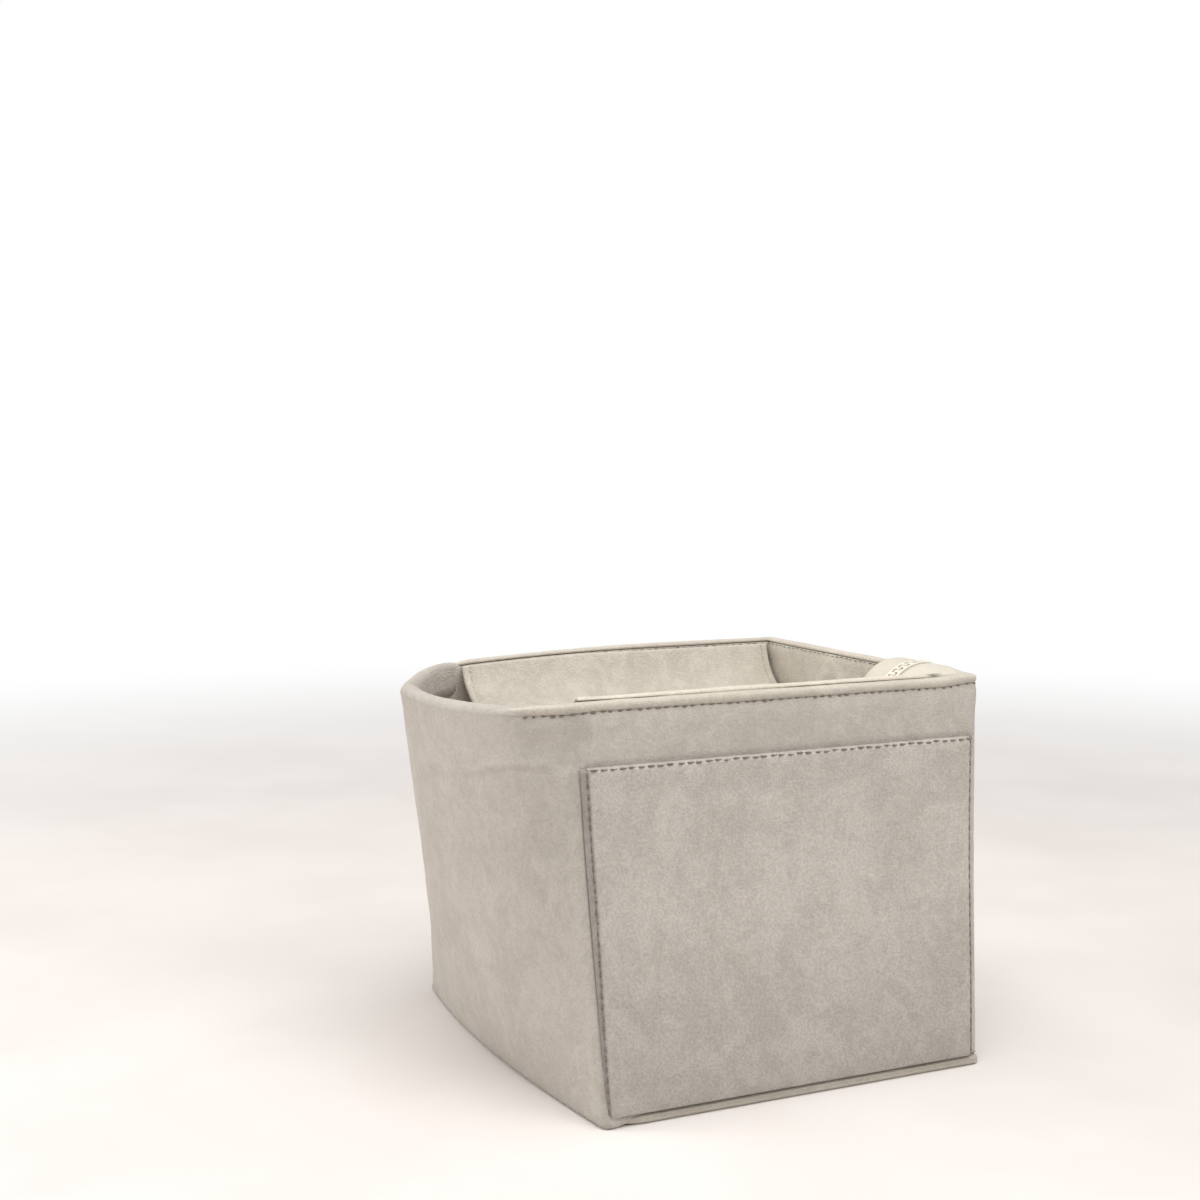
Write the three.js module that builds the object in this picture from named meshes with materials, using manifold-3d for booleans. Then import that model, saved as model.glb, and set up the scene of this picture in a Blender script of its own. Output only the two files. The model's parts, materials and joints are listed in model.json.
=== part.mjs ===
// Purse organizer insert: a four-sided suede box that stands inside a tote and keeps it in order.
// The front, right and back walls are stiffened, the left end is soft and bulges. A zipped
// compartment runs along the front wall, and a cover flap hangs from the back rim.
// Millimetres. X runs along the front wall, Y from front to back, Z up. The origin is the middle of
// the sewn footprint, on the surface that the insert stands on.

import * as THREE from "three";
import { mergeVertices } from "three/addons/utils/BufferGeometryUtils.js";
import Module from "manifold-3d";

const wasm = await Module();
wasm.setup();

// Box, measured on the walls' outer faces
const BASE_LENGTH = 138;
const BASE_DEPTH = 152;
const RIM_LENGTH = 149.4;
const RIM_DEPTH = 136;
const HEIGHT = 130;

// Soft left end: how far it bows out, how the bow grows with height, and how far its rim sags
const BASE_BULGE = 5;
const RIM_BULGE = 27.5;
const BULGE_GROWTH_POWER = 0.7;
const RIM_SAG = 4;
const SAG_START_SHARE = 0.9;

// How much further the rim sags where the soft end meets the back wall, and the shares of the
// half length and half depth between which that grows
const BACK_SAG = 4.6;
const BACK_SAG_LENGTH_SHARES = [-0.27, 1.14];
const BACK_SAG_DEPTH_SHARES = [0.15, 0.91];

// Corner radii, and the share of the height above which the front left corner opens
const SEWN_CORNER = 1.5;
const TIGHTEST_FOLD = 0.8;
const FRONT_LEFT_RIM_CORNER = 14;
const FRONT_LEFT_OPENING_SHARE = 0.75;
const BACK_LEFT_RIM_CORNER = 24;

// Plies of a wall, from outside in, and the clearance that lies between two pieces
const GAP = 0.3;
const OUTER_SUEDE = 1;
const BOARD = 1.6;
const LINING = 0.9;
const BOARD_INSET = OUTER_SUEDE + GAP;
const LINING_INSET = BOARD_INSET + BOARD + GAP;
const WALL = LINING_INSET + LINING;

// Rim binding: a folded strip that rides over the boards, flush with both faces
const BINDING_DEPTH = 3.2;
const BINDING_INNER_DEPTH = 1.6;
const BINDING_PLY = 0.9;
const BINDING_ROUND = 0.7;

// Base: welt around the edge, skin below, board, lining on top
const WELT_HEIGHT = 3.2;
const WELT_PROUD = 0.8;
const WELT_WIDTH = 3.8;
const BASE_SKIN = 1;
const BASE_BOARD = 2;
const BASE_LINING = 0.9;
const BASE_INSET = WELT_WIDTH - WELT_PROUD + GAP;
const BASE_BOARD_Z = BASE_SKIN + GAP;
const BASE_LINING_Z = BASE_BOARD_Z + BASE_BOARD + GAP;
const FLOOR_Z = BASE_LINING_Z + BASE_LINING;

// Patch pocket on the front wall
const POCKET_DROP = 20;
const POCKET_PLY = 1;
const POCKET_HEM = 8;
const POCKET_HEM_EXTRA = 0.4;
const POCKET_LEFT_SETBACK = 0.5;
const POCKET_RIGHT_SETBACK = 2.6;

// Zip: where the chain runs, how it climbs over the right wall, and the tape it is set in
const ZIP_SETBACK = 29;
const ZIP_RECESS = 20;
const ZIP_RISE_ANGLE = THREE.MathUtils.degToRad(50);
const ZIP_FOOT_RADIUS = 20;
const ZIP_CREST_RADIUS = 16;
const ZIP_CREST_SETBACK = 3.5;
const TAPE_HALF_WIDTH = 14.5;
const TAPE_PLY = 0.8;
const TAPE_END_SETBACK = 0.3;

// Zip teeth, measured across the chain from its middle line when the rows are meshed
const TOOTH_PITCH = 2.8;
const TOOTH_HEIGHT = 1.6;
const TOOTH_TIP = 0.9;
const TOOTH_TIP_WIDTH = 0.8;
const TOOTH_HEAD_WIDTH = 1.24;
const TOOTH_NECK_WIDTH = 0.84;
const TOOTH_ROOT_WIDTH = 1.5;
const BEAD_INNER = 2;
const BEAD_WIDTH = 1.2;
const OPEN_SHIFT = 2.2;
const MERGE_LENGTH = 14;
const STOP_LENGTH = 3;
const STOP_INDENT = 0.15;
const TOP_STOP_SETBACK = 18;
const TOP_STOP_LIP = 0.3;

// Zip slider and pull
const SLIDER_LENGTH = 12;
const SLIDER_BLADE = 1.2;
const SLIDER_PLAY = 0.4;
const SLIDER_RAIL = 1.2;
const SLIDER_NOSE_WIDTH = 9;
const SLIDER_PARK_SETBACK = 32;
const WEDGE_LENGTH = 4;
const BRIDGE_LENGTH = 6;
const BRIDGE_HEIGHT = 3;
const BRIDGE_BAR = 0.9;
const BRIDGE_WIDTH = 1.8;
const PULL_LENGTH = 24;
const PULL_PLY = 1.2;
const PULL_ARM = 1.3;
const PULL_END_WIDTH = 7.4;
const PULL_PIVOT_SETBACK = 1.1;
const PULL_SLOT = 4;

// Front facing, from the front rim down to the zip, and the divider under the zip
const FACING_PLY = 1;
const FACING_CREST_RISE = 1.2;
const FACING_END_SETBACK = 8;
const FACING_LEFT_SETBACK = 5.7;
const DIVIDER_PLY = 1.4;
const DIVIDER_TUCK = 1.5;

// Cover flap, hung inside the back rim
const FLAP_LENGTH = 84;
const FLAP_PLY = 0.9;
const FLAP_HEAD_RADIUS = 0.9;
const FLAP_SIDE_GAP = 0.9;
const FLAP_LEFT_SETBACK = 13.7;
const FLAP_HINGE_DROP = 3;
const FLAP_BACK_START = 3;

// How many flat facets each curve gets
const FOLD_STEPS = 2;
const SOFT_END_STEPS = 14;
const WALL_ROWS = 8;
const ARC_STEPS = 7;
const FLAP_STEPS = 16;

// Points closer together than this are one point
const WELD_DISTANCE = 0.0001;

const SUEDE = { color: 0xbfb5a6, roughness: 0.95 };
const LINING_SUEDE = { color: 0xc9bfae, roughness: 0.95 };
const BINDING_SUEDE = { color: 0xc4baaa, roughness: 0.9 };
const STIFF_BOARD = { color: 0xe8e4da, roughness: 0.8 };
const FELT = { color: 0xd9d3c7, roughness: 1 };
const TAPE = { color: 0xe3ddcf, roughness: 0.85 };
const RESIN = { color: 0xe9e3d4, roughness: 0.42 };

const insert = new THREE.Group();

function addPiece(parent, name, geometry, finish) {
  const material = new THREE.MeshStandardMaterial({ ...finish, metalness: 0 });
  const mesh = new THREE.Mesh(geometry, material);
  mesh.name = name;
  parent.add(mesh);
  return mesh;
}

function mix(from, to, share) {
  return from + (to - from) * share;
}

// Closes a list of triangles into an indexed geometry with its faces turned outwards.
function closedGeometry(triangles) {
  const raw = new THREE.BufferGeometry().setFromPoints(triangles.flat());
  const merged = mergeVertices(raw, WELD_DISTANCE);
  const place = merged.getAttribute("position");
  const index = Array.from(merged.index.array);
  const [a, b, c] = [new THREE.Vector3(), new THREE.Vector3(), new THREE.Vector3()];
  let volume = 0;
  for (let i = 0; i < index.length; i += 3) {
    a.fromBufferAttribute(place, index[i]);
    b.fromBufferAttribute(place, index[i + 1]);
    c.fromBufferAttribute(place, index[i + 2]);
    volume += a.dot(b.cross(c));
  }
  merged.setIndex(volume < 0 ? index.reverse() : index);
  merged.computeVertexNormals();
  return merged;
}

function quad(a, b, c, d) {
  return [[a, b, c], [a, c, d]];
}

// A sheet with thickness: two matching grids of points, front[i][j] and back[i][j].
function sheetSolid(front, back) {
  const triangles = [];
  const columns = front.length - 1;
  const rows = front[0].length - 1;
  for (let i = 0; i < columns; i += 1) {
    for (let j = 0; j < rows; j += 1) {
      triangles.push(...quad(front[i][j], front[i + 1][j], front[i + 1][j + 1], front[i][j + 1]));
      triangles.push(...quad(back[i][j], back[i][j + 1], back[i + 1][j + 1], back[i + 1][j]));
    }
    triangles.push(...quad(front[i][0], back[i][0], back[i + 1][0], front[i + 1][0]));
    triangles.push(...quad(front[i][rows], front[i + 1][rows], back[i + 1][rows], back[i][rows]));
  }
  for (let j = 0; j < rows; j += 1) {
    triangles.push(...quad(front[0][j], front[0][j + 1], back[0][j + 1], back[0][j]));
    triangles.push(
      ...quad(front[columns][j], back[columns][j], back[columns][j + 1], front[columns][j + 1]),
    );
  }
  return closedGeometry(triangles);
}

// A ring swept round a closed loop of matching cross-sections.
function ringSolid(sections) {
  const triangles = [];
  sections.forEach((section, i) => {
    const next = sections[(i + 1) % sections.length];
    section.forEach((point, j) => {
      const k = (j + 1) % section.length;
      triangles.push(...quad(point, next[j], next[k], section[k]));
    });
  });
  return closedGeometry(triangles);
}

function toSolid(geometry) {
  const bare = geometry.clone();
  bare.deleteAttribute("normal");
  bare.deleteAttribute("uv");
  const merged = mergeVertices(bare, WELD_DISTANCE);
  return new wasm.Manifold(
    new wasm.Mesh({
      numProp: 3,
      vertProperties: merged.getAttribute("position").array,
      triVerts: new Uint32Array(merged.index.array),
    }),
  );
}

function toGeometry(solid) {
  const mesh = solid.getMesh();
  const geometry = new THREE.BufferGeometry();
  geometry.setAttribute("position", new THREE.BufferAttribute(mesh.vertProperties, 3));
  geometry.setIndex(new THREE.BufferAttribute(mesh.triVerts, 1));
  geometry.computeVertexNormals();
  return geometry;
}

// Half sizes, bulge and left corner radii of the walls' outer face at a height. The front left
// corner stays as sharp as a sewn one until near the rim.
function sectionAt(z) {
  const share = z / HEIGHT;
  const opened = THREE.MathUtils.smoothstep(share, FRONT_LEFT_OPENING_SHARE, 1);
  return {
    halfLength: mix(BASE_LENGTH, RIM_LENGTH, share) / 2,
    halfDepth: mix(BASE_DEPTH, RIM_DEPTH, share) / 2,
    bulge: mix(BASE_BULGE, RIM_BULGE, share ** BULGE_GROWTH_POWER),
    frontCorner: mix(SEWN_CORNER, FRONT_LEFT_RIM_CORNER, opened),
    backCorner: mix(SEWN_CORNER, BACK_LEFT_RIM_CORNER, share),
  };
}

function arcPoints(centerX, centerY, radius, from, to, steps) {
  const points = [];
  for (let i = 0; i <= steps; i += 1) {
    const angle = mix(from, to, i / steps);
    const x = centerX + radius * Math.cos(angle);
    points.push(new THREE.Vector2(x, centerY + radius * Math.sin(angle)));
  }
  return points;
}

// The four sides of the plan at a height, set in from the outer face, each from the middle of one
// corner fold to the middle of the next, anticlockwise seen from above.
function sidesAt(z, inset) {
  const { halfLength, halfDepth, bulge, frontCorner, backCorner } = sectionAt(z);
  const bowRadius = (halfDepth ** 2 + bulge ** 2) / (2 * bulge);
  const bowX = bowRadius - halfLength - bulge;
  const bow = bowRadius - inset;
  const x = halfLength - inset;
  const y = halfDepth - inset;
  const sewn = Math.max(SEWN_CORNER - inset, TIGHTEST_FOLD);
  const front = Math.max(frontCorner - inset, TIGHTEST_FOLD);
  const back = Math.max(backCorner - inset, TIGHTEST_FOLD);
  const frontX = bowX - Math.sqrt((bow - front) ** 2 - (y - front) ** 2);
  const backX = bowX - Math.sqrt((bow - back) ** 2 - (y - back) ** 2);
  const quarter = Math.PI / 2;
  const frontTurn = Math.atan2(front - y, frontX - bowX) + 2 * Math.PI;
  const backTurn = Math.atan2(y - back, backX - bowX);
  const frontMiddle = (frontTurn + 3 * quarter) / 2;
  const backMiddle = (backTurn + quarter) / 2;
  const fold = (cx, cy, radius, from, to) => arcPoints(cx, cy, radius, from, to, FOLD_STEPS);
  return {
    front: [
      ...fold(frontX, front - y, front, frontMiddle, 3 * quarter),
      ...fold(x - sewn, sewn - y, sewn, -quarter, -quarter / 2),
    ],
    right: [
      ...fold(x - sewn, sewn - y, sewn, -quarter / 2, 0),
      ...fold(x - sewn, y - sewn, sewn, 0, quarter / 2),
    ],
    back: [
      ...fold(x - sewn, y - sewn, sewn, quarter / 2, quarter),
      new THREE.Vector2(0, y),
      ...fold(backX, y - back, back, quarter, backMiddle),
    ],
    left: [
      ...fold(backX, y - back, back, backMiddle, backTurn).slice(0, -1),
      ...arcPoints(bowX, 0, bow, backTurn, frontTurn, SOFT_END_STEPS),
      ...fold(frontX, front - y, front, frontTurn, frontMiddle).slice(1),
    ],
  };
}

// The whole plan as one closed loop.
function loopAt(z, inset) {
  const { front, right, back, left } = sidesAt(z, inset);
  return [front, right, back, left].flatMap((side) => side.slice(0, -1));
}

// The rim sags a little along the soft end, and most where that meets the back wall.
function rimAt({ x, y }) {
  const halfLength = RIM_LENGTH / 2;
  const [from, to] = BACK_SAG_LENGTH_SHARES;
  const [front, back] = BACK_SAG_DEPTH_SHARES.map((share) => (share * RIM_DEPTH) / 2);
  const soft = THREE.MathUtils.smoothstep(-x, halfLength * SAG_START_SHARE, halfLength + RIM_BULGE);
  const along = THREE.MathUtils.clamp((-x / halfLength - from) / (to - from), 0, 1);
  const atBack = THREE.MathUtils.smoothstep(y, front, back);
  return HEIGHT - RIM_SAG * soft - BACK_SAG * along ** 2 * atBack;
}

// Where the left wall's face crosses a line of constant Y.
function leftFaceX(y, z, inset) {
  const loop = loopAt(z, inset);
  const crossings = loop.flatMap((point, i) => {
    const next = loop[(i + 1) % loop.length];
    const crosses = (point.y - y) * (next.y - y) <= 0 && point.y !== next.y;
    return crosses ? [mix(point.x, next.x, (y - point.y) / (next.y - point.y))] : [];
  });
  return Math.min(...crossings);
}

function shortened(points, cut) {
  const short = points.map((point) => point.clone());
  const last = short.length - 1;
  short[0].lerp(points[1], cut / points[0].distanceTo(points[1]));
  short[last].lerp(points[last - 1], cut / points[last].distanceTo(points[last - 1]));
  return short;
}

// One ply of one wall, between two insets, from a bottom height to a drop below the rim.
// flatOnly leaves out the corner folds, as on a board.
function wallPly(side, { bottom, drop, outer, inner, flatOnly = false }) {
  const line = (z, inset) => {
    const points = sidesAt(z, inset)[side];
    const kept = flatOnly ? points.slice(FOLD_STEPS, points.length - FOLD_STEPS) : points;
    return shortened(kept, GAP / 2);
  };
  const rim = line(HEIGHT, 0);
  const grid = (inset) =>
    rim.map((rimPoint, i) => {
      const column = [];
      for (let j = 0; j <= WALL_ROWS; j += 1) {
        const z = mix(bottom, rimAt(rimPoint) - drop, j / WALL_ROWS);
        const point = line(z, inset)[i];
        column.push(new THREE.Vector3(point.x, point.y, z));
      }
      return column;
    });
  return sheetSolid(grid(outer), grid(inner));
}

function addWalls(parent) {
  const skinTop = BINDING_DEPTH + GAP;
  const liningTop = BINDING_INNER_DEPTH + GAP;
  const boardTop = BINDING_PLY + GAP;
  const wallFoot = WELT_HEIGHT + GAP;
  const skin = { bottom: wallFoot, drop: skinTop, outer: 0, inner: OUTER_SUEDE };
  const core = {
    bottom: wallFoot,
    drop: boardTop,
    outer: BOARD_INSET,
    inner: BOARD_INSET + BOARD,
  };
  const lining = { bottom: FLOOR_Z + GAP, drop: liningTop, outer: LINING_INSET, inner: WALL };
  for (const side of ["front", "left", "back", "right"]) {
    addPiece(parent, `outer_${side}_panel`, wallPly(side, skin), SUEDE);
    addPiece(parent, `lining_${side}`, wallPly(side, lining), LINING_SUEDE);
  }
  for (const side of ["front", "back", "right"]) {
    const board = wallPly(side, { ...core, flatOnly: true });
    addPiece(parent, `${side}_board`, board, STIFF_BOARD);
  }
  addPiece(parent, "left_padding", wallPly("left", core), FELT);
}

// The binding's cross-section as [inset, drop below the rim].
function bindingProfile() {
  const innerPly = WALL - BINDING_PLY;
  return [
    [0, BINDING_DEPTH],
    [0, BINDING_ROUND],
    [BINDING_ROUND, 0],
    [WALL - BINDING_ROUND, 0],
    [WALL, BINDING_ROUND],
    [WALL, BINDING_INNER_DEPTH],
    [innerPly, BINDING_INNER_DEPTH],
    [innerPly, BINDING_PLY],
    [BINDING_PLY, BINDING_PLY],
    [BINDING_PLY, BINDING_DEPTH],
  ];
}

function addRimBinding(parent) {
  const profile = bindingProfile();
  const sections = loopAt(HEIGHT, 0).map((rimPoint, i) =>
    profile.map(([inset, drop]) => {
      const z = rimAt(rimPoint) - drop;
      const point = loopAt(z, inset)[i];
      return new THREE.Vector3(point.x, point.y, z);
    }),
  );
  addPiece(parent, "rim_binding", ringSolid(sections), BINDING_SUEDE);
}

// The welt is a round roll, flat underneath where it stands.
function weltProfile() {
  const round = WELT_HEIGHT / 4;
  const inner = WELT_WIDTH - WELT_PROUD;
  return [
    [round - WELT_PROUD, 0],
    [-WELT_PROUD, round],
    [-WELT_PROUD, WELT_HEIGHT - round],
    [round - WELT_PROUD, WELT_HEIGHT],
    [inner, WELT_HEIGHT],
    [inner, 0],
  ];
}

function plate(z, thickness, inset) {
  const shape = new THREE.Shape(loopAt(z, inset));
  const geometry = new THREE.ExtrudeGeometry(shape, { depth: thickness, bevelEnabled: false });
  return geometry.translate(0, 0, z);
}

function addBase(parent) {
  const sections = loopAt(0, 0).map((unused, i) =>
    weltProfile().map(([inset, z]) => {
      const point = loopAt(z, inset)[i];
      return new THREE.Vector3(point.x, point.y, z);
    }),
  );
  const lining = plate(BASE_LINING_Z, BASE_LINING, LINING_INSET);
  addPiece(parent, "base_welt", ringSolid(sections), SUEDE);
  addPiece(parent, "outer_base_panel", plate(0, BASE_SKIN, BASE_INSET), SUEDE);
  addPiece(parent, "base_board", plate(BASE_BOARD_Z, BASE_BOARD, BASE_INSET + GAP), STIFF_BOARD);
  addPiece(parent, "lining_base", lining, LINING_SUEDE);
}

// The patch pocket lies flat on the front wall, from the left corner to just short of the right
// one, and is a little thicker along its turned top hem.
function addFrontPocket(parent) {
  const foot = WELT_HEIGHT + GAP;
  const top = HEIGHT - POCKET_DROP;
  const levels = [
    [foot, POCKET_PLY],
    [top - POCKET_HEM, POCKET_PLY],
    [top - POCKET_HEM + POCKET_HEM_EXTRA, POCKET_PLY + POCKET_HEM_EXTRA],
    [top, POCKET_PLY + POCKET_HEM_EXTRA],
  ];
  const edge = (end, plies) =>
    levels.map(([z, ply]) => {
      const { halfLength, halfDepth } = sectionAt(z);
      const x = end === 0 ? POCKET_LEFT_SETBACK - halfLength : halfLength - POCKET_RIGHT_SETBACK;
      return new THREE.Vector3(x, -halfDepth - GAP - plies * ply, z);
    });
  const grid = (plies) => [edge(0, plies), edge(1, plies)];
  addPiece(parent, "front_pocket_panel", sheetSolid(grid(1), grid(0)), SUEDE);
}

// The zip's line: level below the rim, then up at the right end and over the right wall's rim.
const zipY = ZIP_SETBACK - RIM_DEPTH / 2;
const zipLowZ = HEIGHT - ZIP_RECESS;
const zipCrestZ = HEIGHT + GAP + TOOTH_HEIGHT / 2;
const zipCrestX = RIM_LENGTH / 2 - ZIP_CREST_SETBACK;
const footArc = ZIP_FOOT_RADIUS * ZIP_RISE_ANGLE;
const crestArc = ZIP_CREST_RADIUS * ZIP_RISE_ANGLE;
const curvedRise = (ZIP_FOOT_RADIUS + ZIP_CREST_RADIUS) * (1 - Math.cos(ZIP_RISE_ANGLE));
const slope = (zipCrestZ - zipLowZ - curvedRise) / Math.sin(ZIP_RISE_ANGLE);
const curvedRun = (ZIP_FOOT_RADIUS + ZIP_CREST_RADIUS) * Math.sin(ZIP_RISE_ANGLE);
const zipFootX = zipCrestX - curvedRun - slope * Math.cos(ZIP_RISE_ANGLE);
const zipEnd = footArc + slope + crestArc + ZIP_CREST_SETBACK - TAPE_END_SETBACK;

// A point of the zip at a distance along its line, counted from the foot of the climb, a height
// above the line and a place across it.
function zipPoint(along, across, above) {
  const rise = ZIP_RISE_ANGLE;
  const footTopX = zipFootX + ZIP_FOOT_RADIUS * Math.sin(rise);
  const footTopZ = zipLowZ + ZIP_FOOT_RADIUS * (1 - Math.cos(rise));
  let x = zipFootX + along;
  let z = zipLowZ;
  let angle = 0;
  if (along > footArc + slope + crestArc) {
    x = zipCrestX + along - footArc - slope - crestArc;
    z = zipCrestZ;
  } else if (along > footArc + slope) {
    angle = rise - (along - footArc - slope) / ZIP_CREST_RADIUS;
    x = zipCrestX - ZIP_CREST_RADIUS * Math.sin(angle);
    z = zipCrestZ - ZIP_CREST_RADIUS * (1 - Math.cos(angle));
  } else if (along > footArc) {
    angle = rise;
    x = footTopX + (along - footArc) * Math.cos(rise);
    z = footTopZ + (along - footArc) * Math.sin(rise);
  } else if (along > 0) {
    angle = along / ZIP_FOOT_RADIUS;
    x = zipFootX + ZIP_FOOT_RADIUS * Math.sin(angle);
    z = zipLowZ + ZIP_FOOT_RADIUS * (1 - Math.cos(angle));
  }
  return new THREE.Vector3(
    x - above * Math.sin(angle),
    zipY + across,
    z + above * Math.cos(angle),
  );
}

// How far each row stands aside: the rows are parted left of the slider and meshed right of it.
const sliderX = zipFootX - SLIDER_PARK_SETBACK;
const mergeStart = (SLIDER_LENGTH - MERGE_LENGTH) / 2 - SLIDER_PARK_SETBACK;

function rowShift(along) {
  const merged = THREE.MathUtils.smoothstep(along, mergeStart, mergeStart + MERGE_LENGTH);
  return OPEN_SHIFT * (1 - merged);
}

const beadOuter = BEAD_INNER + BEAD_WIDTH;
const openOuter = OPEN_SHIFT + beadOuter;
const chainLeft = leftFaceX(zipY, zipLowZ, WALL) + TOP_STOP_SETBACK - zipFootX;
const chainRight = zipEnd - STOP_LENGTH;
const rowTeeth = Math.floor((chainRight - chainLeft) / TOOTH_PITCH);

// One pitch of a row: the bead, with a tooth that narrows to a neck and swells to a head.
function toothCell() {
  const middle = TOOTH_PITCH / 2;
  const neck = BEAD_INNER / 2;
  const widths = [
    [BEAD_INNER, TOOTH_ROOT_WIDTH],
    [neck, TOOTH_NECK_WIDTH],
    [TOOTH_TIP - TOOTH_HEAD_WIDTH / 2, TOOTH_HEAD_WIDTH],
    [TOOTH_HEAD_WIDTH / 2 - TOOTH_TIP, TOOTH_HEAD_WIDTH],
    [-TOOTH_TIP, TOOTH_TIP_WIDTH],
  ];
  const leftSide = widths.map(([across, width]) => [middle - width / 2, across]);
  const rightSide = widths.map(([across, width]) => [middle + width / 2, across]).reverse();
  return [
    [0, BEAD_INNER],
    ...leftSide,
    ...rightSide,
    [TOOTH_PITCH, BEAD_INNER],
    [TOOTH_PITCH, beadOuter],
    [0, beadOuter],
  ];
}

// A row of teeth moulded on its bead. direction is -1 for the front row and 1 for the back row.
function toothRow(direction, lag) {
  const cell = toothCell();
  const flat = cell.map(([along, across]) => new THREE.Vector2(along, across));
  const faces = THREE.ShapeUtils.triangulateShape(flat, []);
  const triangles = [];
  for (let i = 0; i < rowTeeth; i += 1) {
    const start = chainRight - lag - (i + 1) * TOOTH_PITCH;
    const layer = (above) =>
      cell.map(([along, across], k) => {
        const center = start + TOOTH_PITCH / 2;
        const onTooth = k > 0 && k < cell.length - 3;
        const shift = rowShift(onTooth ? center : start + along);
        return zipPoint(start + along, direction * (across + shift), above);
      });
    const top = layer(TOOTH_HEIGHT / 2);
    const bottom = layer(-TOOTH_HEIGHT / 2);
    for (const [a, b, c] of faces) {
      triangles.push([top[a], top[b], top[c]], [bottom[a], bottom[c], bottom[b]]);
    }
    cell.forEach((unused, k) => {
      const next = (k + 1) % cell.length;
      const joinsRight = k === cell.length - 3 && i > 0;
      const joinsLeft = k === cell.length - 1 && i < rowTeeth - 1;
      if (joinsRight || joinsLeft) return;
      triangles.push(...quad(bottom[k], bottom[next], top[next], top[k]));
    });
  }
  return closedGeometry(triangles);
}

// Distances along the zip at which its tape is creased, from where the rows start to close.
function tapeStations() {
  const shares = Array.from({ length: ARC_STEPS + 1 }, (unused, i) => i / ARC_STEPS);
  const crestStart = footArc + slope;
  return [
    ...shares.map((share) => mergeStart + MERGE_LENGTH * share),
    ...shares.map((share) => footArc * share),
    ...shares.map((share) => crestStart + crestArc * share),
    zipEnd,
  ];
}

// Half of the tape. Its left end is cut to the soft end's inner face.
function tapeHalf(direction) {
  const inner = beadOuter + GAP;
  const leftEnd = (across) => leftFaceX(zipY + across, zipLowZ, WALL + GAP) - zipFootX;
  const layer = (above) => {
    const end = [OPEN_SHIFT + inner, TAPE_HALF_WIDTH].map((edge) =>
      zipPoint(leftEnd(direction * edge), direction * edge, above),
    );
    const rest = tapeStations().map((along) =>
      [rowShift(along) + inner, TAPE_HALF_WIDTH].map((edge) =>
        zipPoint(along, direction * edge, above),
      ),
    );
    return [end, ...rest];
  };
  return sheetSolid(layer(TAPE_PLY / 2), layer(-TAPE_PLY / 2));
}

// A stop is a block moulded over the end of the rows.
function stopBlock(from, acrossFrom, acrossTo, half) {
  const grid = (above) =>
    [from, from + STOP_LENGTH - GAP].map((along) =>
      [acrossFrom, acrossTo].map((across) => zipPoint(along, across, above)),
    );
  return sheetSolid(grid(half), grid(-half));
}

function addZip(parent) {
  addPiece(parent, "zip_tape_front", tapeHalf(-1), TAPE);
  addPiece(parent, "zip_tape_back", tapeHalf(1), TAPE);
  addPiece(parent, "zip_teeth_front", toothRow(-1, 0), RESIN);
  addPiece(parent, "zip_teeth_back", toothRow(1, TOOTH_PITCH / 2), RESIN);
  const bottomHalf = TOOTH_HEIGHT / 2 - STOP_INDENT;
  const bottomStop = stopBlock(chainRight + GAP, -beadOuter, beadOuter, bottomHalf);
  addPiece(parent, "zip_bottom_stop", bottomStop, RESIN);
  const leftEnd = chainRight - TOOTH_PITCH / 2 - rowTeeth * TOOTH_PITCH - STOP_LENGTH;
  const openInner = OPEN_SHIFT + TOOTH_TIP;
  const topHalf = TOOTH_HEIGHT / 2 + SLIDER_PLAY + TOP_STOP_LIP;
  const frontStop = stopBlock(leftEnd, -openOuter, -openInner, topHalf);
  const backStop = stopBlock(leftEnd, openInner, openOuter, topHalf);
  addPiece(parent, "zip_top_stop_front", frontStop, RESIN);
  addPiece(parent, "zip_top_stop_back", backStop, RESIN);
}

// Slider, in its own frame: origin in the middle of its channel, X along the zip.
const channelHalf = openOuter + SLIDER_PLAY;
const bladeZ = TOOTH_HEIGHT / 2 + SLIDER_PLAY;
const bladeTop = bladeZ + SLIDER_BLADE;
const sliderHalfWidth = channelHalf + SLIDER_RAIL;

function extruded(points, depth, z) {
  const shape = new THREE.Shape(points.map(([x, y]) => new THREE.Vector2(x, y)));
  const geometry = new THREE.ExtrudeGeometry(shape, { depth, bevelEnabled: false });
  return toSolid(geometry.translate(0, 0, z));
}

// Shield outline of a blade: broad where the rows part, narrower where they leave meshed.
function bladeOutline() {
  const half = SLIDER_LENGTH / 2;
  const nose = SLIDER_NOSE_WIDTH / 2;
  const chamfer = sliderHalfWidth - nose;
  return [
    [-half, -nose],
    [chamfer - half, -sliderHalfWidth],
    [half - chamfer, -sliderHalfWidth],
    [half, -nose],
    [half, nose],
    [half - chamfer, sliderHalfWidth],
    [chamfer - half, sliderHalfWidth],
    [-half, nose],
  ];
}

function railOutline(direction) {
  const half = SLIDER_LENGTH / 2 - (sliderHalfWidth - SLIDER_NOSE_WIDTH / 2);
  const [inner, outer] = [direction * channelHalf, direction * sliderHalfWidth];
  const points = [[-half, inner], [half, inner], [half, outer], [-half, outer]];
  return direction > 0 ? points : points.reverse();
}

function wedgeOutline() {
  const left = GAP - SLIDER_LENGTH / 2;
  const half = OPEN_SHIFT - TOOTH_TIP - GAP;
  const middle = left + WEDGE_LENGTH / 2;
  return [[left, 0], [middle, -half], [left + WEDGE_LENGTH, 0], [middle, half]];
}

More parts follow.
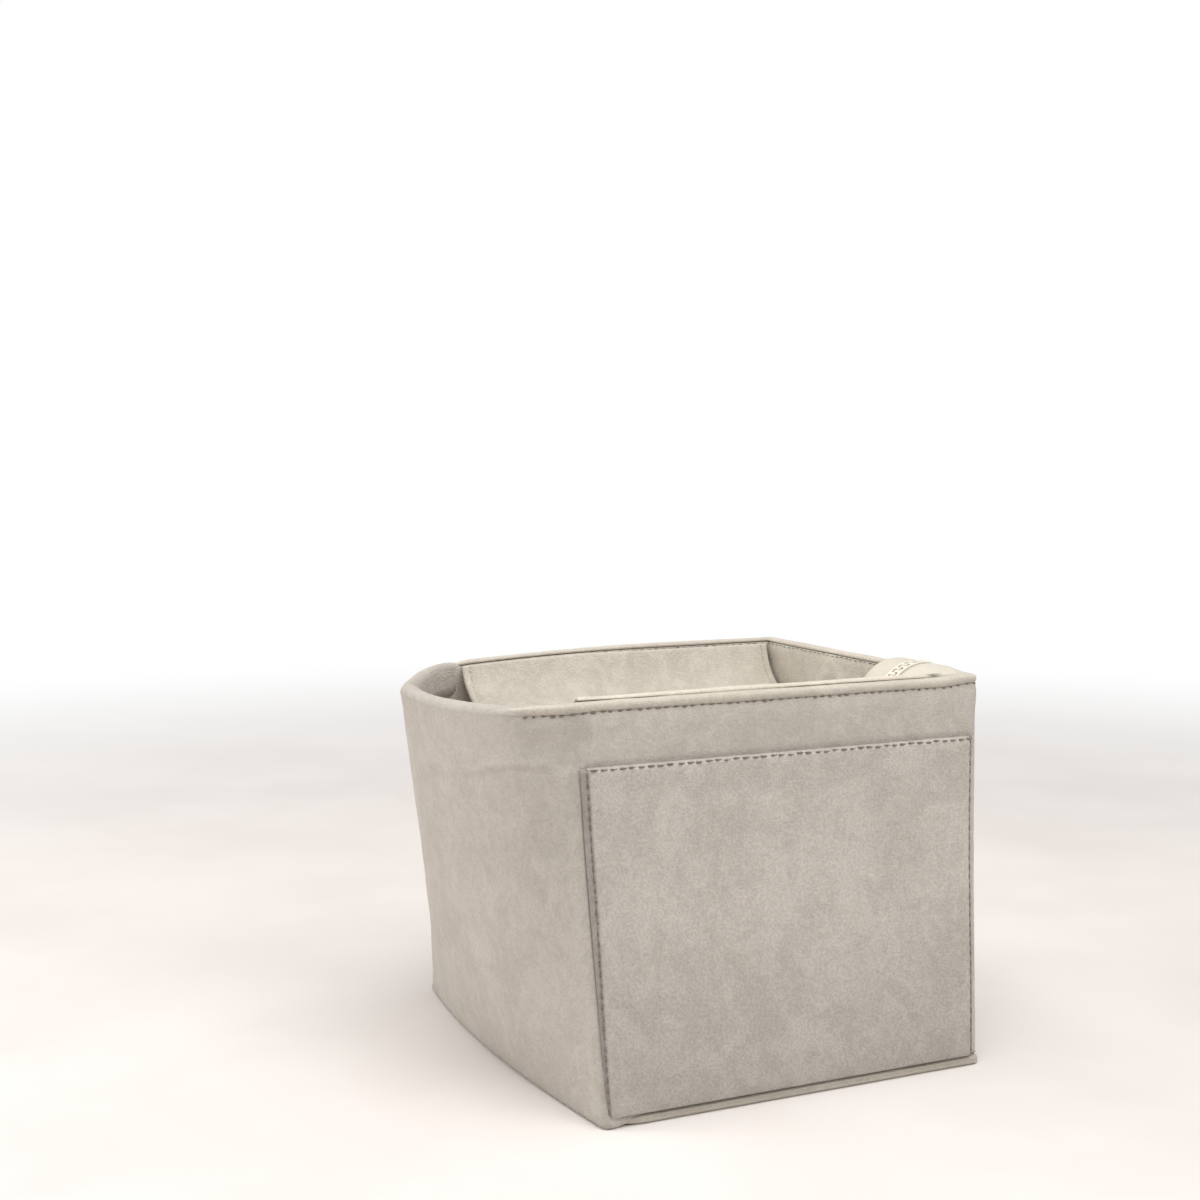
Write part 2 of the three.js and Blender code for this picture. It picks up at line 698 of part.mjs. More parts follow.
// Bridge over the top blade, an arch seen from the side, that traps the pull's crossbar.
function bridgeSolid() {
  const half = BRIDGE_LENGTH / 2;
  const shape = new THREE.Shape([
    new THREE.Vector2(-half, 0),
    new THREE.Vector2(half, 0),
    new THREE.Vector2(half, BRIDGE_HEIGHT - BRIDGE_BAR),
    new THREE.Vector2(half - BRIDGE_BAR, BRIDGE_HEIGHT),
    new THREE.Vector2(BRIDGE_BAR - half, BRIDGE_HEIGHT),
    new THREE.Vector2(-half, BRIDGE_HEIGHT - BRIDGE_BAR),
  ]);
  const eye = half - BRIDGE_BAR;
  const eyeTop = BRIDGE_HEIGHT - BRIDGE_BAR;
  const eyeFoot = GAP / 2;
  shape.holes.push(
    new THREE.Path([
      new THREE.Vector2(-eye, eyeFoot),
      new THREE.Vector2(-eye, eyeTop),
      new THREE.Vector2(eye, eyeTop),
      new THREE.Vector2(eye, eyeFoot),
    ]),
  );
  const geometry = new THREE.ExtrudeGeometry(shape, { depth: BRIDGE_WIDTH, bevelEnabled: false });
  geometry.translate(0, 0, -BRIDGE_WIDTH / 2).rotateX(Math.PI / 2);
  return toSolid(geometry.translate(0, 0, bladeTop - eyeFoot));
}

function sliderGeometry() {
  const tapeClear = TAPE_PLY / 2 + SLIDER_PLAY;
  let solid = extruded(bladeOutline(), SLIDER_BLADE, bladeZ);
  solid = solid.add(extruded(bladeOutline(), SLIDER_BLADE, -bladeTop));
  for (const direction of [-1, 1]) {
    const rail = railOutline(direction);
    solid = solid.add(extruded(rail, bladeTop - tapeClear, tapeClear));
    solid = solid.add(extruded(rail, bladeTop - tapeClear, -bladeTop));
  }
  solid = solid.add(extruded(wedgeOutline(), 2 * bladeTop, -bladeTop));
  return toGeometry(solid.add(bridgeSolid()));
}

// Pull, in its own frame: origin on the crossbar's axis, lying along X.
function pullGeometry() {
  const slotHalf = BRIDGE_WIDTH / 2 + GAP;
  const eyeHalf = slotHalf + PULL_ARM;
  const eyeEnd = BRIDGE_LENGTH / 2 + PULL_PIVOT_SETBACK + 2 * GAP;
  const bar = PULL_PLY / 2;
  const endHalf = PULL_END_WIDTH / 2;
  const outline = new THREE.Shape();
  outline.moveTo(-bar, -eyeHalf);
  outline.lineTo(eyeEnd, -eyeHalf);
  outline.lineTo(PULL_LENGTH - endHalf, -endHalf);
  outline.absarc(PULL_LENGTH - endHalf, 0, endHalf, -Math.PI / 2, Math.PI / 2, false);
  outline.lineTo(eyeEnd, eyeHalf);
  outline.lineTo(-bar, eyeHalf);
  outline.closePath();
  const hole = (fromX, toX, half) =>
    new THREE.Path([
      new THREE.Vector2(fromX, -half),
      new THREE.Vector2(fromX, half),
      new THREE.Vector2(toX, half),
      new THREE.Vector2(toX, -half),
    ]);
  outline.holes.push(hole(bar, eyeEnd, slotHalf));
  const slotFrom = PULL_LENGTH - endHalf - PULL_SLOT;
  outline.holes.push(hole(slotFrom, PULL_LENGTH - endHalf, PULL_SLOT / 4));
  const geometry = new THREE.ExtrudeGeometry(outline, {
    depth: PULL_PLY,
    bevelEnabled: false,
    curveSegments: ARC_STEPS,
  });
  return toGeometry(toSolid(geometry.translate(0, 0, -bar)));
}

function addSlider(parent) {
  const slider = new THREE.Group();
  slider.position.set(sliderX, zipY, zipLowZ);
  parent.add(slider);
  addPiece(slider, "zip_slider", sliderGeometry(), RESIN);
  const pull = addPiece(slider, "zip_pull", pullGeometry(), RESIN);
  pull.position.set(PULL_PIVOT_SETBACK, 0, bladeTop + GAP + PULL_PLY / 2);
}

// Facing between the front rim and the zip's front tape. It stops short of the right wall.
function addFrontFacing(parent) {
  const crestZ = HEIGHT + FACING_CREST_RISE;
  const crestY = WALL + GAP + FACING_PLY / 2 - sectionAt(crestZ).halfDepth;
  const footY = zipY - TAPE_HALF_WIDTH - GAP - FACING_PLY / 2;
  const leftTop = FACING_LEFT_SETBACK - RIM_LENGTH / 2;
  const leftFoot = leftFaceX(footY, zipLowZ, WALL + GAP) + FACING_PLY;
  const right = RIM_LENGTH / 2 - FACING_END_SETBACK;
  const stations = [leftFoot - zipFootX, ...tapeStations()].filter(
    (station) => zipPoint(station, 0, 0).x < right,
  );
  const grid = (offset) =>
    stations.map((station, i) => {
      const foot = zipPoint(station, 0, 0);
      const crestX = i === 0 ? leftTop : foot.x;
      const lean = Math.atan2(footY - crestY, crestZ - foot.z);
      const side = new THREE.Vector3(0, Math.cos(lean), Math.sin(lean)).multiplyScalar(offset);
      const low = new THREE.Vector3(foot.x, footY, foot.z + FACING_PLY / 2).add(side);
      return [low, new THREE.Vector3(crestX, crestY, crestZ).add(side)];
    });
  const facing = sheetSolid(grid(FACING_PLY / 2), grid(-FACING_PLY / 2));
  addPiece(parent, "zip_front_facing", facing, LINING_SUEDE);
}

// Divider between the zipped compartment and the main one. Its top follows the zip's back tape.
function addDivider(parent) {
  const y = zipY + TAPE_HALF_WIDTH - DIVIDER_TUCK;
  const foot = FLOOR_Z + GAP;
  const left = (z) => leftFaceX(y, z, WALL + 2 * GAP);
  const right = (z) => sectionAt(z).halfLength - WALL - GAP;
  const under = (along) => zipPoint(along, 0, -TAPE_PLY / 2 - GAP);
  const inside = tapeStations().map(under).filter((top) => top.x < right(top.z));
  const [first, last] = [inside[0].clone(), inside[inside.length - 1].clone()];
  const tops = [first.setX(left(first.z)), ...inside, last.setX(right(last.z))];
  const grid = (depth) =>
    tops.map((top) => {
      const share = (top.x - first.x) / (last.x - first.x);
      const column = [];
      for (let j = 0; j < WALL_ROWS; j += 1) {
        const z = mix(foot, top.z, j / WALL_ROWS);
        column.push(new THREE.Vector3(mix(left(z), right(z), share), y + depth, z));
      }
      return [...column, top.clone().setY(y + depth)];
    });
  const divider = sheetSolid(grid(-DIVIDER_PLY / 2), grid(DIVIDER_PLY / 2));
  addPiece(parent, "compartment_divider", divider, LINING_SUEDE);
}

// Lean of the cover flap from the vertical, in degrees, at shares of its length.
const flapLeanDegrees = [22, 60, 12, -8];
const flapLeanShares = [0, 0.26, 0.55, 1];
const flapHingeZ = HEIGHT - FLAP_HINGE_DROP;
const flapHingeY = sectionAt(flapHingeZ).halfDepth - WALL - GAP - FLAP_HEAD_RADIUS;

function flapLean(share) {
  const i = Math.max(flapLeanShares.findIndex((end) => end >= share), 1);
  const span = (share - flapLeanShares[i - 1]) / (flapLeanShares[i] - flapLeanShares[i - 1]);
  const eased = THREE.MathUtils.smoothstep(span, 0, 1);
  return THREE.MathUtils.degToRad(mix(flapLeanDegrees[i - 1], flapLeanDegrees[i], eased));
}

// The flap's line seen from the side, from the hinge down, with the direction square to it.
function flapLine() {
  const step = FLAP_LENGTH / FLAP_STEPS;
  const line = [];
  let y = flapHingeY;
  let z = flapHingeZ;
  for (let i = 0; i <= FLAP_STEPS; i += 1) {
    const lean = flapLean(i / FLAP_STEPS);
    line.push({ y, z, normalY: -Math.cos(lean), normalZ: Math.sin(lean) });
    y -= step * Math.sin(lean);
    z -= step * Math.cos(lean);
  }
  return line;
}

function flapPly(line, near, far) {
  const left = FLAP_LEFT_SETBACK - RIM_LENGTH / 2;
  const grid = (offset) =>
    [0, 1].map((end) =>
      line.map(({ y, z, normalY, normalZ }) => {
        const right = sectionAt(z).halfLength - WALL - FLAP_SIDE_GAP;
        const x = end === 0 ? left : right;
        return new THREE.Vector3(x, y + offset * normalY, z + offset * normalZ);
      }),
    );
  return sheetSolid(grid(near), grid(far));
}

function addCoverFlap(parent) {
  const line = flapLine();
  const left = FLAP_LEFT_SETBACK - RIM_LENGTH / 2;
  const right = sectionAt(flapHingeZ).halfLength - WALL - FLAP_SIDE_GAP;
  const head = new THREE.CylinderGeometry(
    FLAP_HEAD_RADIUS,
    FLAP_HEAD_RADIUS,
    right - left,
    2 * ARC_STEPS,
  );
  head.rotateZ(Math.PI / 2).translate((left + right) / 2, flapHingeY, flapHingeZ);
  const face = toSolid(flapPly(line, 0, FLAP_PLY)).add(toSolid(head));
  const backStart = Math.ceil((FLAP_BACK_START / FLAP_LENGTH) * FLAP_STEPS);
  const back = flapPly(line.slice(backStart), -GAP, -GAP - FLAP_PLY);
  addPiece(parent, "cover_flap_face", toGeometry(face), LINING_SUEDE);
  addPiece(parent, "cover_flap_backing", back, LINING_SUEDE);
}

addWalls(insert);
addRimBinding(insert);
addBase(insert);
addFrontPocket(insert);
addFrontFacing(insert);
addDivider(insert);
addZip(insert);
addSlider(insert);
addCoverFlap(insert);

export default insert;
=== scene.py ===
"""Purse organizer insert: suede plies, stitches, materials, light and camera round the frame."""

import json
import math

import bpy
import numpy as np
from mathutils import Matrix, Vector

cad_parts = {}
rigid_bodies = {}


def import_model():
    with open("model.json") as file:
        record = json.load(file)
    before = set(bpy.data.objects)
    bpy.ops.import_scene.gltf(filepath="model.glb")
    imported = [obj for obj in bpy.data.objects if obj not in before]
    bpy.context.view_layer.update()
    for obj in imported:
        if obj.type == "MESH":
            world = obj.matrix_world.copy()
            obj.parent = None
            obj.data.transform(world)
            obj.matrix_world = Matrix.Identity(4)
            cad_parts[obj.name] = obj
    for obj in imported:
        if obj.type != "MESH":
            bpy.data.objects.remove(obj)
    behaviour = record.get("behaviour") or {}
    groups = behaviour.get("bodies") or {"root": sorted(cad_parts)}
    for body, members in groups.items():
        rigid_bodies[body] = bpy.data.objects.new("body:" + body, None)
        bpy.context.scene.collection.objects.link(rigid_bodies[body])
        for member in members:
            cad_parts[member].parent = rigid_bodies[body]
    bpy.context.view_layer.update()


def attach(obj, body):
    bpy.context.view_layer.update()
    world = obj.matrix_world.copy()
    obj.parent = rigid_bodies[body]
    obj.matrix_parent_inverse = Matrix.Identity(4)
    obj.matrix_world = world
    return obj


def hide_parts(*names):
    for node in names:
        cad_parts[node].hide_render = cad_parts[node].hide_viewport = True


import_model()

MM = 0.001

# Sizes in millimetres, as in the frame. X runs along the front wall, Y to the back, Z up.
BASE_LENGTH, BASE_DEPTH = 138, 152
RIM_LENGTH, RIM_DEPTH, HEIGHT = 149.4, 136, 130
BASE_BULGE, RIM_BULGE, BULGE_POWER = 5, 27.5, 0.7
RIM_SAG, SAG_START = 4, 67.2
BACK_SAG, BACK_SAG_START, BACK_SAG_SPAN = 4.6, 10.2, 51.7
BACK_SAG_SHIFT, BACK_SAG_SHARE = 0.27, 1.41
SEWN_CORNER, TIGHTEST_FOLD = 1.5, 0.8
FRONT_CORNER, FRONT_OPENS, BACK_CORNER = 14, 0.75, 24
GAP, WALL = 0.3, 4.1
BINDING_DEPTH, BINDING_INNER, WELT_HEIGHT, FLOOR_Z = 3.2, 1.6, 3.2, 4.8
POCKET_TOP, POCKET_LEFT, POCKET_RIGHT = 110, 0.5, 2.2
ZIP_Y, ZIP_LOW_Z = -39, 110
TAPE_HALF, TAPE_PLY = 14.5, 0.8
OPEN_SHIFT, BEAD_OUTER = 2.2, 3.2

# The front skin's slack: its depth at the foot, the height it starts at and its reach in Y.
SLACK, SLACK_TOP, SLACK_REACH = 3.0, 90, 70


def mix(a, b, t):
    return a + (b - a) * t


def smooth(t):
    t = np.clip(t, 0, 1)
    return t * t * (3 - 2 * t)


def bump(x, middle, width):
    return np.exp(-(((x - middle) / width) ** 2))


def forward(z, inset):
    """How far the slack skin of the front wall hangs forward of its board."""
    return SLACK * (1 - smooth(z / SLACK_TOP)) * (1 - smooth((inset - 1.2) / 1.6))


def rim_at(x, y):
    """Height of the rim, which sags along the soft end and most at its back."""
    half, end = RIM_LENGTH / 2, RIM_LENGTH / 2 + RIM_BULGE
    sag = RIM_SAG * smooth((-x - SAG_START) / (end - SAG_START))
    along = np.clip((-x / half + BACK_SAG_SHIFT) / BACK_SAG_SHARE, 0, 1)
    return HEIGHT - sag - BACK_SAG * along**2 * smooth((y - BACK_SAG_START) / BACK_SAG_SPAN)


def half_length(z):
    return mix(BASE_LENGTH, RIM_LENGTH, z / HEIGHT) / 2


# Columns round the walls, anticlockwise seen from above: how many each segment has.
COUNTS = {
    "front": 184, "front_right": 14, "right": 176, "back_right": 14,
    "back": 150, "back_left": 46, "bow": 170, "front_left": 36,
}
COLUMNS = sum(COUNTS.values())
SPANS, start = {}, 0
for segment, count in COUNTS.items():
    SPANS[segment] = slice(start, start + count)
    start += count


def walls(z, inset):
    """Points on the walls at heights z, of shape (rows, COLUMNS), set in from the outer face."""
    z, inset = np.broadcast_arrays(np.asarray(z, float), np.asarray(inset, float))
    share = np.clip(z / HEIGHT, 0, 1.05)
    half_l = mix(BASE_LENGTH, RIM_LENGTH, share) / 2
    half_d = mix(BASE_DEPTH, RIM_DEPTH, share) / 2
    bulge = mix(BASE_BULGE, RIM_BULGE, share**BULGE_POWER)
    opened = smooth((share - FRONT_OPENS) / (1 - FRONT_OPENS))
    corners = mix(SEWN_CORNER, FRONT_CORNER, opened), mix(SEWN_CORNER, BACK_CORNER, share)
    front, back, sewn = (np.maximum(c - inset, TIGHTEST_FOLD) for c in (*corners, SEWN_CORNER))
    radius = (half_d**2 + bulge**2) / (2 * bulge)
    bow_x = radius - half_l - bulge
    bow = radius - inset
    x, y = half_l - inset, half_d - inset
    front_x, back_x = (bow_x - np.sqrt((bow - r) ** 2 - (y - r) ** 2) for r in (front, back))
    quarter = np.full(z.shape, math.pi / 2)
    front_turn = np.arctan2(front - y, front_x - bow_x) + 2 * math.pi
    back_turn = np.arctan2(y - back, back_x - bow_x)
    lines = {
        "front": ((front_x, x - sewn), (-y, -y)),
        "right": ((x, x), (sewn - y, y - sewn)),
        "back": ((x - sewn, back_x), (y, y)),
    }
    arcs = {
        "front_right": (x - sewn, sewn - y, sewn, -quarter, 0 * quarter),
        "back_right": (x - sewn, y - sewn, sewn, 0 * quarter, quarter),
        "back_left": (back_x, y - back, back, quarter, back_turn),
        "bow": (bow_x, 0 * y, bow, back_turn, front_turn),
        "front_left": (front_x, front - y, front, front_turn, 3 * quarter),
    }
    out = np.empty(z.shape + (3,))
    out[..., 2] = z
    for segment, count in COUNTS.items():
        span = SPANS[segment]
        t = np.arange(count) / count
        if segment in lines:
            for axis, (a, b) in enumerate(lines[segment]):
                out[:, span, axis] = mix(a[:, span], b[:, span], t)
        else:
            cx, cy, r, a, b = (value[:, span] for value in arcs[segment])
            turn = mix(a, b, t)
            out[:, span, 0] = cx + r * np.cos(turn)
            out[:, span, 1] = cy + r * np.sin(turn)
    out[..., 1] -= forward(z, inset) * smooth(-out[..., 1] / SLACK_REACH)
    return out


def wall_loop(z, inset=0.0):
    return walls(np.full((1, COLUMNS), float(z)), inset)[0]


def around(line):
    """Distance along a closed row of points, in the plan, and the whole way round."""
    step = np.linalg.norm(np.roll(line, -1, 0) - line, axis=1)
    return np.concatenate([[0], np.cumsum(step)[:-1]]), step.sum()


RIM_X, RIM_Y = wall_loop(HEIGHT)[:, :2].T
RIM_LINE = rim_at(RIM_X, RIM_Y)

# The rim's near right corner stands a little higher.
RIM_LINE += 0.8 * smooth((RIM_X - 60) / 12) * (1 - smooth((RIM_Y + 26) / 12))

# How soft each column is: 1 along the unstiffened left end, 0 on the boards.
SOFT = np.zeros(COLUMNS)
SOFT[SPANS["bow"]] = 1
SOFT[SPANS["back_left"]] = smooth(np.linspace(0, 1, COUNTS["back_left"]))
SOFT[SPANS["front_left"]] = smooth(np.linspace(1, 0, COUNTS["front_left"]))

# Where the rim is a plain soft fold, with no binding: 1 along the soft end.
FOLD = smooth(np.where(RIM_Y < 0, (-RIM_X - 82.5) / 12, (-RIM_X - 57) / 10))

# Where the walls turn under in a soft lip, with no piping: 1 along the soft end.
LIP = (SOFT > 0).astype(float)
LIP[SPANS["front"]] = 1 - smooth((np.arange(COUNTS["front"]) - 2) / 15)
LIP[SPANS["back"]] = 1 - smooth((np.arange(COUNTS["back"])[::-1] - 2) / 15)

NOISES, CELLS = 6, 24
LATTICE = np.random.RandomState(7).uniform(-1, 1, (NOISES, CELLS, CELLS, CELLS))


def wobble(points, size, seed=0):
    """Smooth noise from -1 to 1 with features of the given size, at points of shape (..., 3)."""
    p = points / size + 11.3 * seed
    low = np.floor(p).astype(int)
    f = smooth(p - low)
    total = np.zeros(points.shape[:-1])
    for corner in np.ndindex(2, 2, 2):
        weight = np.ones(points.shape[:-1])
        index = []
        for axis in range(3):
            weight = weight * (f[..., axis] if corner[axis] else 1 - f[..., axis])
            index.append((low[..., axis] + corner[axis]) % CELLS)
        total += weight * LATTICE[seed % NOISES][tuple(index)]
    return total


def normals(grid, closed):
    """Unit normals of a grid of shape (rows, columns, 3), facing out of a wall."""
    if closed:
        du = np.roll(grid, -1, 1) - np.roll(grid, 1, 1)
    else:
        du = np.gradient(grid, axis=1)
    dv = np.gradient(grid, axis=0)
    n = np.cross(du, dv)
    return n / np.maximum(np.linalg.norm(n, axis=-1, keepdims=True), 1e-9)


def link(obj):
    bpy.context.scene.collection.objects.link(obj)
    return obj


def piece(name, points, faces, material, painted_shading_values=None):
    mesh = bpy.data.meshes.new(name)
    mesh.from_pydata(np.asarray(points).tolist(), [], [list(map(int, f)) for f in faces])
    mesh.materials.append(material)
    mesh.polygons.foreach_set("use_smooth", [True] * len(mesh.polygons))
    # The mesh's shading attribute holds painted light and shade, which the materials multiply into
    # its colour.
    attribute = mesh.attributes.new("painted_shading", "FLOAT", "POINT")
    attribute.data.foreach_set("value", np.ones(len(points)) if painted_shading_values is None else painted_shading_values)
    mesh.update()
    obj = link(bpy.data.objects.new(name, mesh))
    return obj


def cloth(name, top, bottom, material, closed=False, painted_shading=None, filled=False):
    """A ply between two matching grids, whose rows can run all round and shrink to a filled middle.

    Its shading, 1 where plain, darkens or lightens it: painted light and shade.
    """
    rows, columns = top.shape[:2]
    points = np.concatenate([top.reshape(-1, 3), bottom.reshape(-1, 3)]) * MM
    index = np.arange(rows * columns).reshape(rows, columns)
    if closed:
        index = np.concatenate([index, index[:, :1]], axis=1)
    below = index + rows * columns
    a, b, c, d = index[:-1, :-1], index[:-1, 1:], index[1:, 1:], index[1:, :-1]
    faces = [np.stack([a, b, c, d], -1), np.stack([a, d, c, b], -1) + rows * columns]
    for row, turn in ((0, 1),) if filled else ((0, 1), (-1, -1)):
        strip = [below[row, :-1], below[row, 1:], index[row, 1:], index[row, :-1]]
        faces.append(np.stack(strip[::turn], -1))
    if not closed:
        for column, turn in ((0, 1), (-1, -1)):
            strip = [below[:-1, column], index[:-1, column], index[1:, column], below[1:, column]]
            faces.append(np.stack(strip[::turn], -1))
    faces = np.concatenate([f.reshape(-1, 4) for f in faces]).tolist()
    if filled:
        faces += [index[-1, :-1].tolist(), below[-1, -2::-1].tolist()]
    painted_shading_values = np.broadcast_to(1.0 if painted_shading is None else painted_shading, (rows, columns))
    return piece(name, points, faces, material, np.tile(painted_shading_values.ravel(), 2))


def stands_for(obj, *nodes, body="insert"):
    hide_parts(*nodes)
    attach(obj, body)
    return obj


def run(points, axis=0):
    """Distances from the first points along an axis of a grid of shape (..., 3)."""
    steps = np.diff(points, axis=axis, prepend=points.take([0], axis))
    return np.cumsum(np.linalg.norm(steps, axis=-1), axis=axis)


def graded(start, end, step, edge_steps=(0.12, 0.3, 0.55, 0.85, 1.2, 1.7)):
    """Positions from start to end, close together near both ends."""
    near = [start + e for e in edge_steps]
    far = [end - e for e in edge_steps][::-1]
    count = max(int(round((far[0] - near[-1]) / step)), 1)
    middle = np.linspace(near[-1], far[0], count + 1)[1:-1]
    return np.array([start, *near, *middle, *far, end])


# ---- Materials

SHEEN_ROUGHNESS, SHEEN_TINT = 0.45, (1.0, 0.97, 0.93, 1.0)


class Shade:
    """Builds the procedural nodes of a material, or of the world."""

    def __init__(self, name, owners=bpy.data.materials):
        self.owner = owners.new(name)
        self.owner.use_nodes = True
        self.tree = self.owner.node_tree
        self.tree.nodes.clear()
        self.at = self.node("TexCoord").outputs["Object"]

    def node(self, kind, settings=None, numbered=None, **named):
        """A node with its settings, and a value or link for each input given by number or name."""
        node = self.tree.nodes.new("ShaderNode" + kind)
        for key, value in (settings or {}).items():
            setattr(node, key, value)
        named = {key.replace("_", " "): value for key, value in named.items()}
        for key, value in {**(numbered or {}), **named}.items():
            if isinstance(value, bpy.types.NodeSocket):
                self.tree.links.new(value, node.inputs[key])
            else:
                node.inputs[key].default_value = value
        return node

    def math(self, operation, a, b):
        return self.node("Math", {"operation": operation}, {0: a, 1: b}).outputs[0]

    def mix(self, share, a, b, blend="MIX"):
        settings = {"data_type": "RGBA", "blend_type": blend}
        return self.node("Mix", settings, {0: share, 6: a, 7: b}).outputs[2]

    def noise(self, scale, detail=2.0, roughness=0.5, distortion=0.0, vector=None):
        return self.node(
            "TexNoise", Vector=vector or self.at, Scale=scale, Detail=detail,
            Roughness=roughness, Distortion=distortion,
        ).outputs["Fac"]

    def waves(self, axis, scale, distortion, detail=2.0):
        return self.node(
            "TexWave", {"bands_direction": axis}, Vector=self.at, Scale=scale,
            Distortion=distortion, Detail=detail,
        ).outputs["Fac"]

    def ramp(self, value, low, high, out_low=0.0, out_high=1.0):
        limits = {1: low, 2: high, 3: out_low, 4: out_high}
        smoothed = {"interpolation_type": "SMOOTHSTEP"}
        return self.node("MapRange", smoothed, limits, Value=value).outputs[0]

    def stretched(self, x, y, z):
        return self.node("Mapping", Vector=self.at, Scale=(x, y, z)).outputs[0]

    def shaded(self, color, share=1.0):
        """The colour times the mesh's painted light and shade, and times a share that varies over
        it.
        """
        painted_shading = self.node("Attribute", {"attribute_name": "painted_shading"}).outputs["Fac"]
        level = self.math("MULTIPLY", painted_shading, share)
        grey = self.node("CombineColor", Red=level, Green=level, Blue=level).outputs[0]
        return self.mix(1.0, color, grey, "MULTIPLY")

    def bump(self, height, strength, distance, **below):
        sizes = {"Height": height, "Strength": strength, "Distance": distance}
        return self.node("Bump", **sizes, **below).outputs[0]

    def blend(self, share, first, second):
        return self.node("MixShader", None, {0: share, 1: first, 2: second}).outputs[0]

    def surface(self, color, roughness, normal, specular=0.2, sheen=0.0, coat=0.0):
        shader = self.node(
            "BsdfPrincipled", Base_Color=color, Roughness=roughness, Normal=normal,
            Specular_IOR_Level=specular, Sheen_Weight=sheen, Sheen_Roughness=SHEEN_ROUGHNESS,
            Sheen_Tint=SHEEN_TINT, Coat_Weight=coat,
        )
        self.node("OutputMaterial", Surface=shader.outputs[0])
        return self.owner


def rgb(red, green, blue):
    """An sRGB colour of 0 to 255 as a linear colour."""
    linear = [((c / 255 + 0.055) / 1.055) ** 2.4 for c in (red, green, blue)]
    return (*linear, 1.0)


def suede(name, red, green, blue, nap=0.5, grain=0.5, sheen=0.25):
    """Napped microsuede: brushed patches, mottling and fibre grain round a plain colour."""
    s = Shade(name)
    clouds = s.ramp(s.noise(22.0, 3.0, 0.55, 0.6), 0.32, 0.68)
    brushed = s.noise(84.0, 4.0, 0.6, 1.0, vector=s.stretched(1.0, 1.0, 0.85))
    brushed = s.ramp(brushed, 0.34, 0.68)
    flecks = s.ramp(s.noise(330.0, 3.0, 0.6, 0.4), 0.36, 0.64)
    fibre = s.ramp(s.noise(1150.0, 2.0, 0.65), 0.3, 0.7)
    fine = s.noise(3000.0, 1.0, 0.6)
    level = s.math("MULTIPLY", clouds, 0.34)
    level = s.math("ADD", level, s.math("MULTIPLY", brushed, nap * 0.8))
    level = s.math("ADD", level, s.math("MULTIPLY", flecks, 0.26))
    dark, light = (rgb(red + step, green + step, blue + step) for step in (-8, 6))
    color = s.mix(s.ramp(level, 0.08, 0.95), dark, light)
    color = s.shaded(color, s.ramp(fibre, 0.0, 1.0, 1.0 - 0.1 * grain, 1.0 + 0.08 * grain))
    normal = s.bump(fine, 0.25, 0.0002)
    normal = s.bump(fibre, 0.4, 0.0003, Normal=normal)
    normal = s.bump(brushed, 0.16, 0.0008, Normal=normal)
    roughness = s.ramp(brushed, 0.0, 1.0, 0.98, 0.88)
    return s.surface(color, roughness, normal, specular=0.12, sheen=sheen)


def thread(name, color, dark):
    """Twisted thread, with diagonal strands."""
    s = Shade(name)
    strands = s.waves("DIAGONAL", 1100.0, 1.5)
    tint = s.mix(s.ramp(s.noise(900.0), 0.3, 0.7), dark, color)
    tint = s.mix(s.ramp(strands, 0.0, 1.0, 0.0, 0.5), tint, dark)
    return s.surface(tint, 0.7, s.bump(strands, 0.6, 0.0001), sheen=0.2)


def board_material(name, color, dark):
    """Pressed fibres, drawn out along the height."""
    s = Shade(name)
    fibres = s.noise(700.0, 4.0, 0.65, vector=s.stretched(1.0, 1.0, 0.3))
    color = s.mix(s.ramp(fibres, 0.35, 0.65), dark, color)
    return s.surface(color, 0.9, s.bump(fibres, 0.4, 0.0003))


def resin_material(name, color, dark):
    """Moulded zip resin: faintly mottled, satin, with a slight moulding texture."""
    s = Shade(name)
    pores = s.noise(2600.0, 2.0)
    color = s.mix(s.ramp(s.noise(240.0, 2.0), 0.35, 0.65), dark, color)
    rough = s.ramp(pores, 0.3, 0.7, 0.36, 0.5)
    return s.surface(color, rough, s.bump(pores, 0.25, 0.00008), specular=0.45, coat=0.05)


def tape_material(name, color, dark):
    """Woven tape: fine herringbone ribs along the chain."""
    s = Shade(name)
    weave = s.math("MULTIPLY", s.waves("Y", 420.0, 0.7, 1.0), s.waves("X", 560.0, 0.7, 1.0))
    cloud = s.ramp(s.noise(60.0, 3.0), 0.35, 0.65, 0.0, 0.3)
    color = s.mix(s.math("ADD", cloud, s.ramp(weave, 0.0, 0.7, 0.25, 0.0)), color, dark)
    return s.surface(s.shaded(color), 0.85, s.bump(weave, 0.35, 0.00012), sheen=0.25)


# The lining, binding and facing are lighter copies of the outer suede: their extra lightness is
# painted light, for parts that catch more of the lamps.
SUEDE_OUT = suede("suede_outer", 191, 184, 175, nap=0.4)
SUEDE_POCKET = suede("suede_pocket", 190, 183, 175, nap=0.6, grain=0.9)
SUEDE_IN = suede("suede_lining", 205, 197, 185, nap=0.6, sheen=0.3)
SUEDE_BINDING = suede("suede_binding", 201, 193, 181, nap=0.3)
SUEDE_FACING = suede("suede_facing", 219, 211, 197, nap=0.3)
# Needle holes are dark lenses: painted shadow.
HOLE_SHADOW = suede("needle_hole", 112, 103, 91, nap=0.2, sheen=0.0)
THREAD = thread("thread_taupe", rgb(144, 134, 121), rgb(118, 109, 97))
PALE_THREAD = thread("thread_pale", rgb(226, 219, 204), rgb(190, 180, 162))
BOARD = board_material("fibre_board", rgb(236, 232, 222), rgb(214, 208, 195))
FELT = board_material("felt", rgb(222, 214, 200), rgb(190, 181, 165))
RESIN = resin_material("zip_resin", rgb(236, 230, 217), rgb(226, 218, 203))
TAPE = tape_material("zip_tape_weave", rgb(214, 207, 194), rgb(190, 182, 168))


# ---- Outer skin, rim binding and base piping

